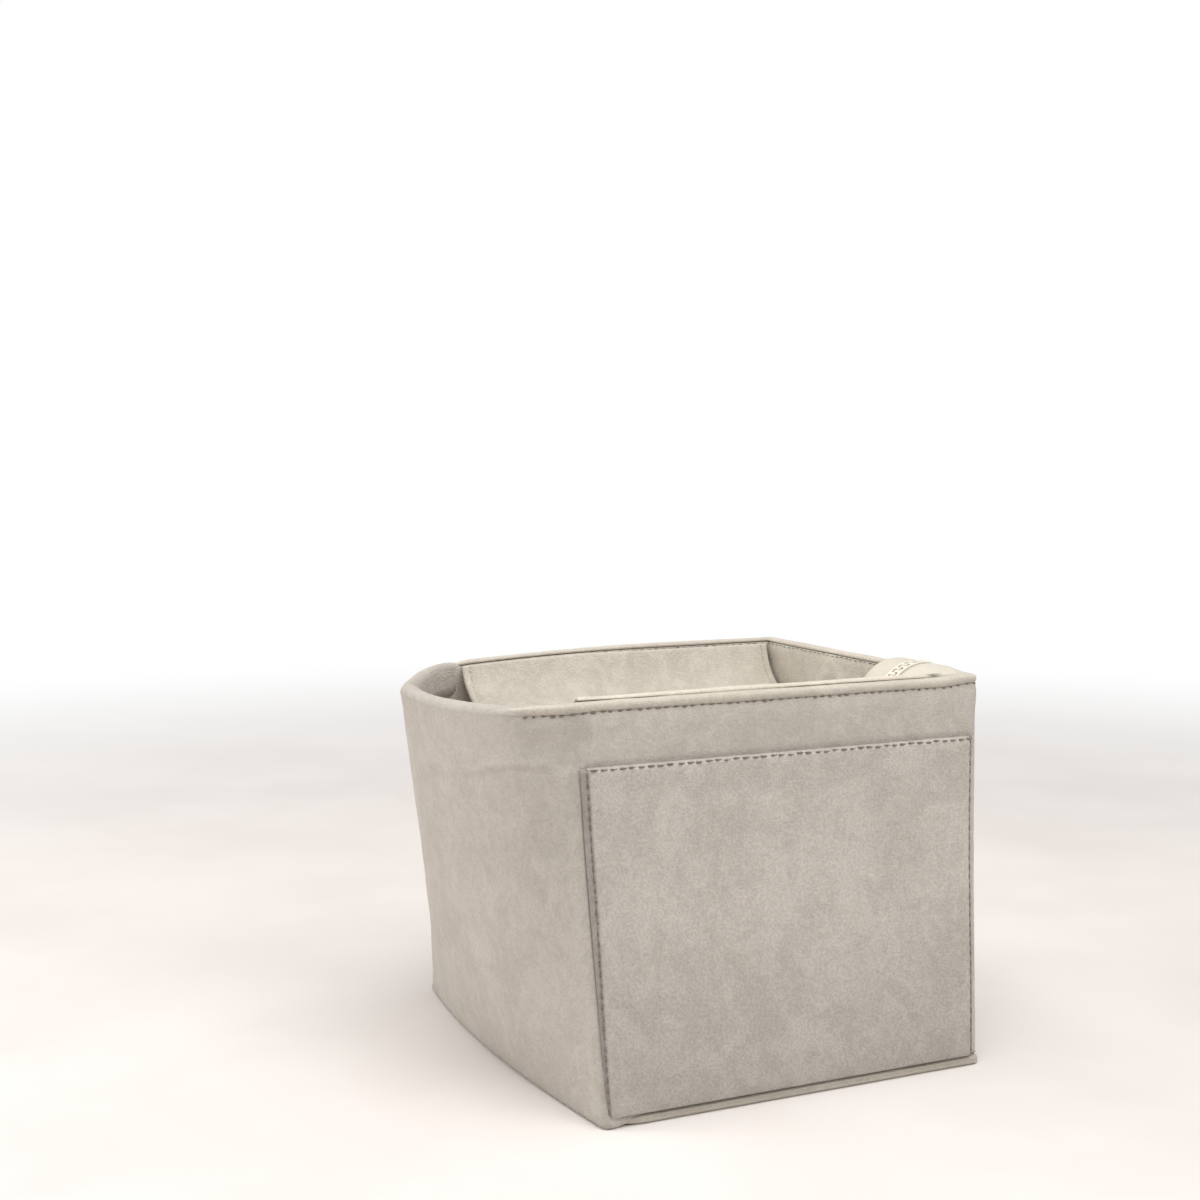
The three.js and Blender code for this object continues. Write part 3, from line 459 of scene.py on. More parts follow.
# Cross-sections as (inset, height) at the base and (inset, drop below the rim) at the rim. The
# skin turns under and over the edge along the soft end, and elsewhere ends inside the trim.
LIP_FACE = [
    (2.4, 0.05), (1.2, 0.03), (0.4, 0.08), (-0.2, 0.3),
    (-0.5, 0.75), (-0.58, 1.4), (-0.5, 2.2), (-0.3, 2.9),
]
LIP_CORE = [
    (2.4, 0.95), (1.3, 0.95), (0.9, 1.0), (0.6, 1.2),
    (0.35, 1.5), (0.3, 1.9), (0.35, 2.4), (0.6, 2.95),
]
LIP_HIDDEN = [
    (0.9, 2.55), (0.88, 2.6), (0.85, 2.65), (0.8, 2.7),
    (0.7, 2.8), (0.55, 2.9), (0.35, 3.0), (0.2, 3.1),
]
FOLD_FACE = [
    (-0.12, 2.8), (0.02, 2.1), (0.3, 1.45), (0.8, 0.8), (1.5, 0.3), (2.4, 0.04), (3.4, 0.0),
    (4.4, 0.16), (5.2, 0.55), (5.85, 1.15), (6.25, 1.9), (6.42, 3.0), (6.45, 5.5), (6.45, 9.0),
    (6.4, 13.0),
]
FOLD_CORE = [
    (0.88, 2.8), (0.95, 2.3), (1.15, 1.8), (1.5, 1.4), (2.0, 1.1), (2.6, 0.97), (3.4, 0.95),
    (4.1, 1.1), (4.7, 1.4), (5.1, 1.8), (5.4, 2.3), (5.6, 3.2), (5.75, 5.5), (5.8, 9.0),
    (6.2, 13.0),
]
FOLD_HIDDEN = [(0.35 + 0.015 * k, 3.1 - 0.05 * k) for k in range(15)]
BINDING_FACE = [
    (0.75, 3.12), (0.4, 3.1), (0.12, 2.95), (-0.1, 2.6), (-0.26, 2.1), (-0.32, 1.6), (-0.26, 1.1),
    (0.0, 0.66), (0.45, 0.32), (1.1, 0.1), (1.9, 0.0), (2.7, 0.04), (3.4, 0.2), (3.85, 0.5),
    (4.08, 0.85), (4.14, 1.15), (4.06, 1.45), (3.8, 1.58), (3.4, 1.6),
]
BINDING_CORE = [
    (0.95, 2.95), (0.95, 2.9), (0.95, 2.75), (0.95, 2.5), (0.95, 2.1), (0.95, 1.6), (1.0, 1.25),
    (1.1, 1.05), (1.25, 0.96), (1.5, 0.92), (1.9, 0.9), (2.6, 0.92), (2.9, 0.96), (3.1, 1.05),
    (3.18, 1.15), (3.2, 1.2), (3.2, 1.3), (3.22, 1.4), (3.25, 1.46),
]
WELT_FACE = [
    (2.6, 0.0), (0.7, 0.0), (0.1, 0.1), (-0.36, 0.36), (-0.66, 0.75), (-0.74, 1.2), (-0.68, 1.55),
    (-0.6, 1.68), (-0.68, 1.82), (-0.74, 2.05), (-0.5, 2.5), (0.05, 2.9), (0.7, 3.1), (1.5, 3.16),
    (2.6, 3.15),
]
WELT_CORE = [
    (2.6, 0.9), (1.2, 0.9), (0.85, 0.95), (0.5, 1.05), (0.25, 1.25), (0.18, 1.45), (0.16, 1.58),
    (0.16, 1.65), (0.16, 1.72), (0.2, 1.85), (0.4, 2.05), (0.65, 2.18), (0.9, 2.25), (1.5, 2.26),
    (2.6, 2.25),
]
BINDING_MIDDLE, WELT_MIDDLE, DRAWN_IN = (2.05, 2.1), (1.25, 1.6), 0.45

# The soft fold thins out to the width of the bound rim towards the back corner.
THICK = 1 - smooth((RIM_Y - 26) / 24)
FOLD_WIDTH = mix(1, mix(0.66, 1, THICK), FOLD)

# Distances round the walls at mid height, from the near left corner one way and the other.
MID_Z = 57.0
U_MID, MID_ROUND = around(wall_loop(MID_Z)[:, :2])
FROM_CORNER = MID_ROUND - U_MID


def section(points):
    """Insets and heights of a cross-section, the same in every column."""
    inset, height = (np.array(v, float)[:, None] for v in zip(*points))
    wide = np.ones((1, COLUMNS))
    return inset * wide, height * wide


def blended(hidden, shown, share):
    return tuple(mix(a, b, share) for a, b in zip(section(hidden), section(shown)))


def below_rim(drop):
    return RIM_LINE - drop


def skin_heights(step):
    """Shares of a wall's height, close together at the seams, the crease and the rim."""
    end = HEIGHT - BINDING_DEPTH - WELT_HEIGHT
    low = graded(0, 9, step)[:-6]
    mid = np.arange(10, 103, step)
    crease = np.arange(104, 112.1, 0.7)
    high = np.arange(113.5, 119.6, 1.5)
    top = end - np.array([2.6, 2.1, 1.7, 1.3, 1.0, 0.7, 0.45, 0.25, 0.1, 0.0])
    return np.concatenate([low, mid, crease, high, top]) / end


def tuck(distance, depth=1.0, reach=1.3):
    """How far a ply's face turns in at a distance from its edge."""
    t = np.clip(1 - distance / reach, 0, 1)
    return depth * (1 - np.sqrt(np.clip(1 - t**2, 0, 1)))


def column_mask(*names):
    return np.repeat([float(segment in names) for segment in COUNTS], list(COUNTS.values()))


def skin_wall():
    """Insets and heights of the skin between the piping and the binding."""
    bottom, top = WELT_HEIGHT + 0.05, RIM_LINE - BINDING_DEPTH - 0.05
    z = bottom + skin_heights(2.2)[:, None] * (top - bottom)
    below = RIM_LINE - BINDING_DEPTH - z
    inset = tuck(below, 0.6, 1.1) * (1 - FOLD) + tuck(z - bottom) * (1 - LIP)
    return inset - 0.3 * LIP * bump(z, 3, 5), z


def skin_section(lip, wall_inset, wall_z, fold):
    """Heights and insets from the lip under the foot, up the wall and over the rim's fold."""
    lip_inset, lip_z = blended(*lip, LIP)
    fold_inset, fold_drop = blended(*fold, FOLD**0.5)
    inset = np.concatenate([lip_inset, wall_inset, fold_inset * FOLD_WIDTH])
    return np.concatenate([lip_z, wall_z, below_rim(fold_drop)]), inset


def make_outer_skin():
    wall_inset, wall_z = skin_wall()
    z, inset = skin_section((LIP_HIDDEN, LIP_FACE), wall_inset, wall_z, (FOLD_HIDDEN, FOLD_FACE))
    lip_core = [(i + 0.4, height) for i, height in LIP_HIDDEN], LIP_CORE
    fold_core = [(i + 0.3, drop) for i, drop in FOLD_HIDDEN], FOLD_CORE
    core = walls(*skin_section(lip_core, wall_inset + 0.95, wall_z, fold_core))
    face = walls(z, inset)
    front = column_mask("front")
    below = RIM_LINE - BINDING_DEPTH - z
    outside = 1 - smooth((inset - 1.2) / 1.0)

    # Waves, deeper on the soft end, and a fine unevenness.
    fade = smooth(below / 12) * smooth(z / 12) * outside
    stiff_waves = 0.2 * (1 - SOFT) * wobble(face, 46.0, 1)
    out = fade * (stiff_waves + SOFT * 0.75 * wobble(face * [1, 1, 0.45], 40.0, 2))
    out += fade * SOFT * 0.2 * wobble(face, 15.0, 3)
    out += 0.05 * wobble(face, 6.0, 4) * smooth(below / 3) * smooth(z / 5)

    # The puff under the binding's seam, and the press along the pocket's mouth.
    puff = 0.3 * bump(below, 4.2, 3.0) - 0.14 * bump(below, 0.6, 0.9)
    out += (1 - FOLD) * outside * puff * smooth(below / 0.4 + 1)
    out += front * (0.35 * bump(z, 118, 5) - 0.35 * bump(z, POCKET_TOP + 0.3, 0.9))

    # The crease that falls from the pocket's corner along the soft end.
    crease = SOFT * smooth((FROM_CORNER - 6) / 8)
    crease = crease * (1 - smooth((FROM_CORNER - 70) / 25))
    fallen = z - POCKET_TOP + 10 * smooth(FROM_CORNER / 85) + 0.5 * np.sin(FROM_CORNER / 6)
    out += crease * (0.4 * bump(fallen, 0.7, 1.2) - 0.25 * bump(fallen, -1.0, 1.0))

    # The corner seam beside the pocket, the spread of its foot and the fold's unevenness.
    seam = smooth((POCKET_TOP - z) / 2) * smooth(z / 6) * (1 - front)
    out += seam * (0.55 * bump(FROM_CORNER, 3.2, 2.4) - 0.35 * bump(FROM_CORNER, 0.2, 0.7))
    spread = smooth(1 - U_MID / 3) * front + (1 - front) * bump(FROM_CORNER, 0, 18)
    out += 0.6 * (1 - smooth(z / 30)) * spread * smooth(z / 2)
    out += 0.3 * FOLD * wobble(face, 15.0, 5) * bump(below, -1.5, 5.0)
    grid = face + normals(face, True) * out[..., None]

    # Painted light on the fold's inside, as on the lining, and on the front wall, and painted shade
    # on the soft end near the corner.
    # Painted shade under the binding's seam, over the piping, in the corner seam beside the pocket,
    # under the crease and on the lip that turns under the foot.
    painted_shading = 1 - 0.1 * (1 - FOLD) * bump(below, 0.2, 1.0) - 0.1 * (1 - LIP) * bump(z, 3.4, 1.0)
    painted_shading = painted_shading - 0.12 * seam * bump(FROM_CORNER, 0.0, 1.0) - 0.1 * LIP * (1 - smooth(z / 5))
    painted_shading -= 0.04 * crease * bump(fallen, -0.9, 1.0)
    painted_shading += 0.05 * FOLD * smooth((inset - 2.5) / 3)
    painted_shading = painted_shading + 0.03 * front - 0.05 * (1 - front) * bump(FROM_CORNER, 8, 26)
    skin = cloth("outer_skin", grid, core, SUEDE_OUT, True, painted_shading)
    stands_for(
        skin, "outer_front_panel", "outer_left_panel", "outer_back_panel", "outer_right_panel"
    )
    return skin, grid


def trim_ring(name, profiles, middle, hide, height_of, node, waviness, painted_shading_of):
    """A folded strip all round the walls, drawn in to its middle, out of sight, where hide is 1,
    its colour lightened and darkened by height with painted light and shade.
    """
    grids = []
    for points in profiles:
        drawn = [tuple(mix(m, p, DRAWN_IN) for m, p in zip(middle, point)) for point in points]
        inset, height = blended(points, drawn, hide)
        grids.append(walls(height_of(height), inset))
    face, core = grids
    waves = 0.12 * wobble(face, 9.0, 5) + 0.16 * wobble(face, 24.0, 1)
    out = waviness * waves * smooth(face[..., 2] / 0.8)
    grid = face + normals(face, True) * out[..., None]
    painted_shading = painted_shading_of(section(profiles[0])[1])
    return stands_for(cloth(name, grid, core, SUEDE_BINDING, True, painted_shading), node)


skin, skin_grid = make_outer_skin()
# The binding: a painted highlight along the roll's top and painted shade on its lower half.
binding = trim_ring(
    "rim_roll", (BINDING_FACE, BINDING_CORE), BINDING_MIDDLE, FOLD, below_rim,
    "rim_binding", 1.0,
    lambda drop: 1 + 0.06 * bump(drop, 0.5, 0.7) - 0.12 * smooth((drop - 1.8) / 1.3),
)
# The piping: painted shade all over near the floor, in its groove and on its upper side under the
# skin.
welt = trim_ring(
    "base_roll", (WELT_FACE, WELT_CORE), WELT_MIDDLE, LIP, lambda z: z,
    "base_welt", 0.8,
    lambda z: 0.89 - 0.1 * bump(z, 1.68, 0.2) - 0.12 * smooth((z - 2.3) / 0.7),
)


def make_felt():
    """The pad inside the soft end, a thick felt strip with rounded edges."""
    columns = np.arange(SPANS["back_left"].start + 24, SPANS["front_left"].start + 16, 2)
    z_share = graded(0, 1, 0.03, (0.004, 0.01, 0.02))
    foot, top = WELT_HEIGHT + GAP, RIM_LINE - mix(1.3, 3.4, FOLD)
    z = foot + z_share[:, None] * (top - foot)
    edge = np.minimum(z - foot, top - z)
    turn = tuck(edge, 0.6, 0.8)
    near = walls(z, 1.35 + turn)
    far = walls(z, 2.85 - turn)
    swell = 0.12 * wobble(near, 18.0, 4) * smooth(edge / 4)
    near = (near + normals(near, True) * swell[..., None])[:, columns]
    felt = cloth("end_pad", near, far[:, columns], FELT)
    return stands_for(felt, "left_padding")


# ---- Front pocket

def make_pocket():
    """The patch pocket, and its points' distances from the edges that its stitches follow."""
    width = 143
    seams = np.arange(1.0, 3.4, 0.2), width - np.arange(0.3, 2.4, 0.2)
    across = np.unique(np.concatenate([graded(0, width, 0.9), *seams])) / width
    z = graded(WELT_HEIGHT + GAP, POCKET_TOP, 1.4), np.arange(107, 109.8, 0.3)
    z = np.unique(np.concatenate(z))[:, None]
    x = mix(POCKET_LEFT - half_length(z), half_length(z) - POCKET_RIGHT, across)
    y = -mix(BASE_DEPTH, RIM_DEPTH, z / HEIGHT) / 2 - forward(z, 0.0) + 0 * x
    base = np.stack([x, y, z + 0 * x], -1)
    n = normals(base, False)
    from_left, from_right, from_top = x - x[:, :1], x[:, -1:] - x, POCKET_TOP - base[..., 2]
    from_foot = base[..., 2] - z[0, 0]
    flange = mix(0.7, 1.9, smooth((z - 15) / 60))
    left = smooth((from_left - flange + 0.15) / 0.9)
    right = smooth((from_right - 0.9) / 0.9)
    from_side = np.minimum(from_left - 1.5, from_right)
    out = 0.5 + 0.95 * np.minimum(left, right)
    out += 0.22 * wobble(base, 34.0, 1) * smooth(from_side / 10) * smooth(from_top / 10)
    out += 0.05 * wobble(base, 9.0, 3) * smooth(from_side / 3) * smooth(from_top / 4)
    out += 0.22 * bump(from_top, 3.4, 2.0) * left * right
    out -= tuck(from_top, 1.05, 1.5)
    out -= tuck(np.minimum(np.minimum(from_left, from_right), from_foot), 0.35, 0.7)
    out = np.maximum(out, 0.2)
    face = base + n * out[..., None]
    back = base + n * np.minimum(0.25, out - 0.12)[..., None]
    # Painted shade in the side grooves, at the flange's edge, along the top edge and at the foot;
    # painted light at the top and painted shade towards the bottom and the left, as the light
    # falls.
    painted_shading = 1 - 0.28 * (1 - left) - 0.34 * (1 - right) - 0.08 * bump(from_top, 0.2, 0.6) * left
    painted_shading = painted_shading - 0.1 * bump(from_left, flange + 0.1, 0.4) - 0.08 * bump(from_foot, 0, 2.5)
    painted_shading = painted_shading + 0.03 - 0.11 * (1 - smooth(base[..., 2] / 75)) - 0.05 * bump(from_left, 0, 20)
    painted_shading -= 0.05 * (1 - smooth(base[..., 2] / 60)) * smooth(from_left / 140)
    pocket = cloth("patch_pocket", face, back, SUEDE_POCKET, False, painted_shading)
    stands_for(pocket, "front_pocket_panel")
    return pocket, face, from_top, from_left - flange, from_right


# ---- Lining

def make_lining():
    bottom = FLOOR_Z + GAP
    top = RIM_LINE - mix(BINDING_INNER + 0.2, 3.2, FOLD)
    z = bottom + skin_heights(2.4)[:, None] * (top - bottom)
    below = top - z
    inset = WALL - (1 - FOLD) * tuck(below, 0.2, 0.9) - tuck(z - bottom, 0.4)
    inset = inset + 2.0 * FOLD**3 * THICK * smooth(1 - (below - 12) / 50)
    face = walls(z, inset)
    n = -normals(face, True)
    calm = mix(1, smooth((below - 11) / 10), np.minimum(FOLD * 3, 1))
    fade = smooth(below / 10) * smooth((z - bottom) / 10) * calm
    out = (0.4 * wobble(face, 33.0, 3) + 0.5 * SOFT * wobble(face, 30.0, 2)) * fade
    out += 0.1 * wobble(face, 9.0, 4) * smooth(below / 4) * calm
    out += (1 - FOLD) * (0.15 * bump(below, 2.8, 1.8) - 0.06 * bump(below, 0.6, 0.7))
    along = face[..., 1]
    right = column_mask("right")
    crumple = right * np.maximum(
        bump(along - 18 + (HEIGHT - z) * 0.8, 0, 3.2), bump(along - 14 - (HEIGHT - z) * 0.7, 0, 3.0)
    )
    out += 0.5 * crumple * fade
    at_back = column_mask("back", "back_left", "bow")
    corner = at_back * bump(face[..., 0], -66, 7) * (face[..., 1] > 30) * smooth((z - 60) / 30)
    out += 1.2 * corner * smooth(below / 3) * calm
    grid = face + n * out[..., None]
    # Painted shade in the back corner behind the flap and just under the binding, a painted
    # highlight on the right wall's creases and painted light on the soft end.
    dark = at_back * smooth((face[..., 0] + 84) / 22) * smooth((face[..., 1] - 35) / 25)
    painted_shading = 1 + 0.08 * crumple - 0.1 * dark * smooth(below / 5)
    painted_shading -= 0.06 * (1 - FOLD) * bump(below, 0.0, 1.0)
    painted_shading += 0.1 * FOLD * (1 - dark)
    outer = walls(z, inset - 0.7)
    lining = cloth("inner_lining", outer, grid, SUEDE_IN, True, painted_shading)
    stands_for(lining, "lining_front", "lining_left", "lining_back", "lining_right")
    return lining, grid


def plan_sheet(name, z, thickness, inset, material, puff, seed, node):
    """A ply that fills the plan at a height, as rings that shrink towards a middle line."""
    shares = np.concatenate([[0, 0.004, 0.012, 0.025], np.linspace(0.05, 1, 30)])[:, None, None]
    ring = wall_loop(z, inset)[::3]
    middle = ring.copy()
    middle[:, 0] = np.clip(ring[:, 0], -30, 30) * 0.6
    middle[:, 1] *= 0.02
    grid = ring * (1 - shares) + middle * shares
    lift = puff * wobble(grid, 30.0, seed) * smooth(shares / 0.2)[..., 0]
    top, under = grid.copy(), grid.copy()
    top[..., 2] = z + thickness + lift
    top[0, :, 2] -= thickness * 0.4
    under[..., 2] = z + np.minimum(lift, 0)
    return stands_for(cloth(name, top, under, material, True, filled=True), node)


# ---- Zip path, facing, divider and tape

RISE = math.radians(50)
FOOT_R, CREST_R = 20.0, 16.0
CREST_LIFT, CREST_SETBACK, TAPE_TAIL = 0.8, 3.5, 3.2
CREST_Z, CREST_X = HEIGHT + GAP + CREST_LIFT, RIM_LENGTH / 2 - CREST_SETBACK
FOOT_ARC, CREST_ARC = FOOT_R * RISE, CREST_R * RISE
SLOPE = (CREST_Z - ZIP_LOW_Z - (FOOT_R + CREST_R) * (1 - math.cos(RISE))) / math.sin(RISE)
FOOT_X = CREST_X - (FOOT_R + CREST_R) * math.sin(RISE) - SLOPE * math.cos(RISE)
ZIP_END = FOOT_ARC + SLOPE + CREST_ARC + TAPE_TAIL

# The rows come together over this length, from just left of the slider's middle.
SLIDER_SETBACK, SLIDER_LENGTH, MERGE_LENGTH = 32, 12, 14
MERGE_START = (SLIDER_LENGTH - MERGE_LENGTH) / 2 - SLIDER_SETBACK

# Where the facing dips and the tape's edge puckers, near the zip's upper end, each with a painted
# shadow.
PUCKER_X, PUCKER_Y = 58.5, -65.3

# The facing's ends, its turn as it curls over at the rim, and where on its depth the curl is.
FACING_LEFT, FACING_RIGHT = -78.0, 70.0
CURL, CURL_START, CURL_SHARE = math.radians(205), 0.86, 0.14


def zip_path(along):
    """X, Z and slope of the zip's line at distances along it from the foot of the climb."""
    along = np.asarray(along, float)
    t1 = np.clip(along, 0, FOOT_ARC) / FOOT_R
    x = FOOT_X + np.minimum(along, 0) + FOOT_R * np.sin(t1)
    z = ZIP_LOW_Z + FOOT_R * (1 - np.cos(t1))
    straight = np.clip(along - FOOT_ARC, 0, SLOPE)
    x += straight * math.cos(RISE)
    z += straight * math.sin(RISE)
    t2 = np.clip(along - FOOT_ARC - SLOPE, 0, CREST_ARC) / CREST_R
    x += CREST_R * (math.sin(RISE) - np.sin(RISE - t2))
    z += CREST_R * (np.cos(RISE - t2) - math.cos(RISE))
    x += np.maximum(along - FOOT_ARC - SLOPE - CREST_ARC, 0)
    return x, z, t1 - t2


def row_shift(along):
    """How far each row is parted from the middle line."""
    return OPEN_SHIFT * (1 - smooth((along - MERGE_START) / MERGE_LENGTH))


def left_face(y, z, inset):
    """Where the left wall's face crosses a line of constant Y."""
    loop = wall_loop(z, inset)
    left = loop[loop[:, 0] < -55]
    order = np.argsort(left[:, 1])
    return float(np.interp(y, left[order, 1], left[order, 0]))


def along_zip(start_x, end_x=1e9, step=1.2):
    along = np.append(np.arange(start_x - FOOT_X, ZIP_END, step), ZIP_END)
    return along[zip_path(along)[0] <= end_x]


def edge_distance(face):
    """Distance of each point of an open grid from the nearest edge, along the rows and columns."""
    near = [run(face, axis) for axis in (0, 1)]
    far = [distance.take([-1], axis) - distance for axis, distance in enumerate(near)]
    return np.minimum.reduce(near + far)


def ply(name, face, thickness, material, nodes, body="insert", painted_shading=None, flip=False):
    """A ply behind a face grid, with soft rounded edges."""
    n = normals(face, False) * (-1 if flip else 1)
    turn = tuck(edge_distance(face), thickness * 0.42, thickness * 0.5)[..., None]
    front, back = face - n * turn, face - n * (thickness - turn)
    top, bottom = (back, front) if flip else (front, back)
    return stands_for(cloth(name, top, bottom, material, False, painted_shading), *nodes, body=body)


def make_facing():
    """The ply that leaves the front rim, lies just behind it and drops to the zip."""
    foot_y = ZIP_Y - TAPE_HALF + 0.9
    crest_y, crest_z = -RIM_DEPTH / 2 + WALL + GAP + 0.7, HEIGHT + 0.3
    x, low, _ = zip_path(along_zip(FACING_LEFT, FACING_RIGHT, 1.3))
    low = np.minimum(low, crest_z - 1.2)
    v = np.concatenate([
        graded(0, CURL_START, 0.035, (0.01, 0.025, 0.05)), np.linspace(CURL_START, 1, 16)[1:],
    ])
    rows = []
    for t, start_x in zip(v, mix(FACING_LEFT, -72.2, smooth(v / 0.8))):
        pulled = start_x + (x - x[0]) * (x[-1] - start_x) / (x[-1] - x[0])
        up, turn = min(t / CURL_START, 1), CURL * max(t - CURL_START, 0) / CURL_SHARE
        y = mix(foot_y, crest_y, up**1.5) - 1.45 * (1 - math.cos(turn))
        z = mix(low, crest_z, 1 - (1 - up) ** 1.3) + 0.95 * math.sin(turn)
        rows.append(np.stack([pulled, y + 0 * x, z + 0 * x], -1))
    face = np.array(rows)
    v = v[:, None]
    fade = smooth(v / 0.2) * smooth((1 - v) / 0.1)
    face = face + normals(face, False) * (0.3 * wobble(face, 24.0, 2) * fade)[..., None]
    before_wall = smooth((66.7 - face[..., 0]) / 20)
    face[..., 2] += 0.22 * wobble(face, 34.0, 5) * smooth(v / 0.5) * before_wall
    # A dip in the facing with a painted shadow in it, and a painted highlight along the curl over
    # the rim.
    dip_and_shadow = bump(face[..., 0], PUCKER_X, 2.4) * bump(face[..., 1], PUCKER_Y, 1.7)
    face[..., 2] -= 0.5 * dip_and_shadow
    painted_shading = 1 + 0.03 * smooth((v - 0.8) / 0.2) - 0.75 * dip_and_shadow
    nodes = ["zip_front_facing"]
    return ply("facing_ply", face, 1.0, SUEDE_FACING, nodes, painted_shading=painted_shading, flip=True)


def make_divider():
    """The wall between the zip's compartment and the main one, cut to the zip's line."""
    y, clear = ZIP_Y + TAPE_HALF - 1.5, WALL + 0.6
    line_x, line_z, _ = zip_path(np.arange(-150, ZIP_END, 0.5))
    x_top = np.linspace(left_face(y, ZIP_LOW_Z, clear), 70.2, 116)
    z_top = np.interp(x_top, line_x, line_z) - TAPE_PLY / 2 - GAP
    share = (x_top - x_top[0]) / (x_top[-1] - x_top[0])
    rows = []
    for t in graded(0, 1, 0.03, (0.004, 0.012, 0.025)):
        z = mix(FLOOR_Z + GAP, z_top, t)
        left = left_face(y, z[0], clear)
        half = half_length(z) - WALL - GAP
        rows.append(np.stack([mix(left, half, share), y - 0.7 + 0 * z, z], -1))
    face = np.array(rows)
    face[..., 1] -= 0.12 + 0.1 * wobble(face, 30.0, 1) * smooth(edge_distance(face) / 6)
    return ply("divider_ply", face, 1.5, SUEDE_IN, ["compartment_divider"])


def make_tape(name, direction, node):
    """One side of the zip's tape; direction is -1 for the front one. The front one ends wider."""
    inner, clear, front = BEAD_OUTER + GAP, WALL + GAP, direction < 0
    along = along_zip(left_face(ZIP_Y + direction * 10, ZIP_LOW_Z, clear), step=0.9)
    x, z, angle = zip_path(along)
    v = graded(0, 1, 0.05, (0.01, 0.03, 0.06))[:, None]
    end = smooth((along - ZIP_END + 30) / 22) * front
    across = direction * mix(inner + row_shift(along), TAPE_HALF + 8.0 * end, v)
    face = np.stack([x + 0 * across, ZIP_Y + across, z + 0 * across], -1)
    up = np.stack([-np.sin(angle), 0 * angle, np.cos(angle)], -1)
    left_y = ZIP_Y + direction * mix(inner + 1, TAPE_HALF, v[:, 0])
    face[:, 0, 0] = [left_face(y, ZIP_LOW_Z, clear) for y in left_y]
    lift = 0.1 * wobble(face, 9.0, 4) + 0.3 * wobble(face, 26.0, 3)
    lift = lift * smooth(v / 0.4) * smooth((ZIP_END - along) / 14)
    face = face + up * (lift + TAPE_PLY / 2)[..., None]
    face[..., 2] -= 0.9 * end * smooth((v - 0.35) / 0.65) ** 1.5
    # The edge puckers up with a painted shadow on it, and the tape has painted shade beside the
    # teeth.
    pucker_and_shadow = end * bump(face[..., 0], PUCKER_X, 2.3)
    face[..., 2] += 2.0 * pucker_and_shadow * smooth((v - 0.6) / 0.4)
    painted_shading = 1 - 0.16 * (1 - smooth(v / 0.12)) - 0.8 * pucker_and_shadow * smooth((v - 0.88) / 0.08)
    return ply(name, face, TAPE_PLY, TAPE, [node], painted_shading=painted_shading, flip=front)


# ---- Cover flap

LEAN_DEGREES, LEAN_SHARES = [22, 60, 12, -8], [0, 0.26, 0.55, 1]
FLAP_LENGTH, FLAP_WIDTH, FLAP_LEFT = 84.0, 131, -61.0
HINGE_Y, HINGE_Z = 62.885, 127.0


def flap_line(steps=84):
    """Y and Z down the hanging flap's middle, with the distance from its hinge."""
    y, z = HINGE_Y, HINGE_Z
    line = []
    for i in range(steps + 1):
        share = i / steps
        k = max(next(j for j, end in enumerate(LEAN_SHARES) if end >= share), 1)
        t = (share - LEAN_SHARES[k - 1]) / (LEAN_SHARES[k] - LEAN_SHARES[k - 1])
        lean = math.radians(mix(LEAN_DEGREES[k - 1], LEAN_DEGREES[k], float(smooth(t))))
        line.append((y, z, share * FLAP_LENGTH))
        y -= FLAP_LENGTH / steps * math.sin(lean)
        z -= FLAP_LENGTH / steps * math.cos(lean)
    return np.array(line)


def make_flap():
    line = flap_line()
    down = graded(-0.6, FLAP_LENGTH, 1.3)[::-1]
    y = np.interp(down, line[:, 2], line[:, 0])
    z = np.interp(down, line[:, 2], line[:, 1]) - np.minimum(down, 0)
    right = half_length(z) - WALL - 0.9
    across = graded(0, FLAP_WIDTH, 1.2) / FLAP_WIDTH
    x = mix(FLAP_LEFT, right[:, None], across)
    ceiling = rim_at(x, 66.0 + 0 * x) - 2.0
    drop = np.maximum(HINGE_Z + 0.6 - ceiling, 0) * (1 - smooth(down / 18))[:, None]
    face = np.stack([x, y[:, None] + 0 * x, z[:, None] - drop], -1)
    depth = down[:, None]
    n = normals(face, False)
    from_side = np.minimum(x - FLAP_LEFT, right[:, None] - x)
    loose = smooth(depth / 14) * np.ones_like(x)
    out = 1.0 * wobble(face * [1, 0.5, 0.5], 40.0, 2) * loose + 0.3 * wobble(face, 14.0, 5) * loose
    out += (0.25 * bump(from_side, 1.4, 1.2) - 0.3 * bump(from_side, 3.2, 0.7)) * loose
    out -= 0.3 * bump(FLAP_LENGTH - depth, 3.2, 0.7)
    face = face + n * out[..., None]
    # A painted highlight on the rolled edges, and painted shade along the hem, deeper down into the
    # bag and near the left edge.
    painted_shading = 1.02 + 0.04 * bump(from_side, 1.2, 1.2) - 0.06 * bump(from_side, 3.2, 0.6)
    painted_shading = painted_shading - 0.12 * smooth((depth - 3) / 16) - 0.05 * bump(x, FLAP_LEFT, 12)
    nodes = ["cover_flap_face", "cover_flap_backing"]
    return ply("cover_flap", face, 1.9, SUEDE_IN, nodes, "cover_flap", painted_shading), face


felt = make_felt()
pocket, pocket_face, pocket_drop, pocket_left, pocket_right = make_pocket()
lining, lining_grid = make_lining()
floor_lining = plan_sheet(
    "floor_lining", 3.9, 0.9, 3.2, SUEDE_IN, 0.25, 2, "lining_base"
)
base_skin = plan_sheet(
    "base_skin", 0.05, 0.85, 2.5, SUEDE_OUT, 0.0, 3, "outer_base_panel"
)
facing = make_facing()
divider = make_divider()
tape_front = make_tape("tape_front", -1, "zip_tape_front")
tape_back = make_tape("tape_back", 1, "zip_tape_back")
flap, flap_face = make_flap()


# ---- Stitches

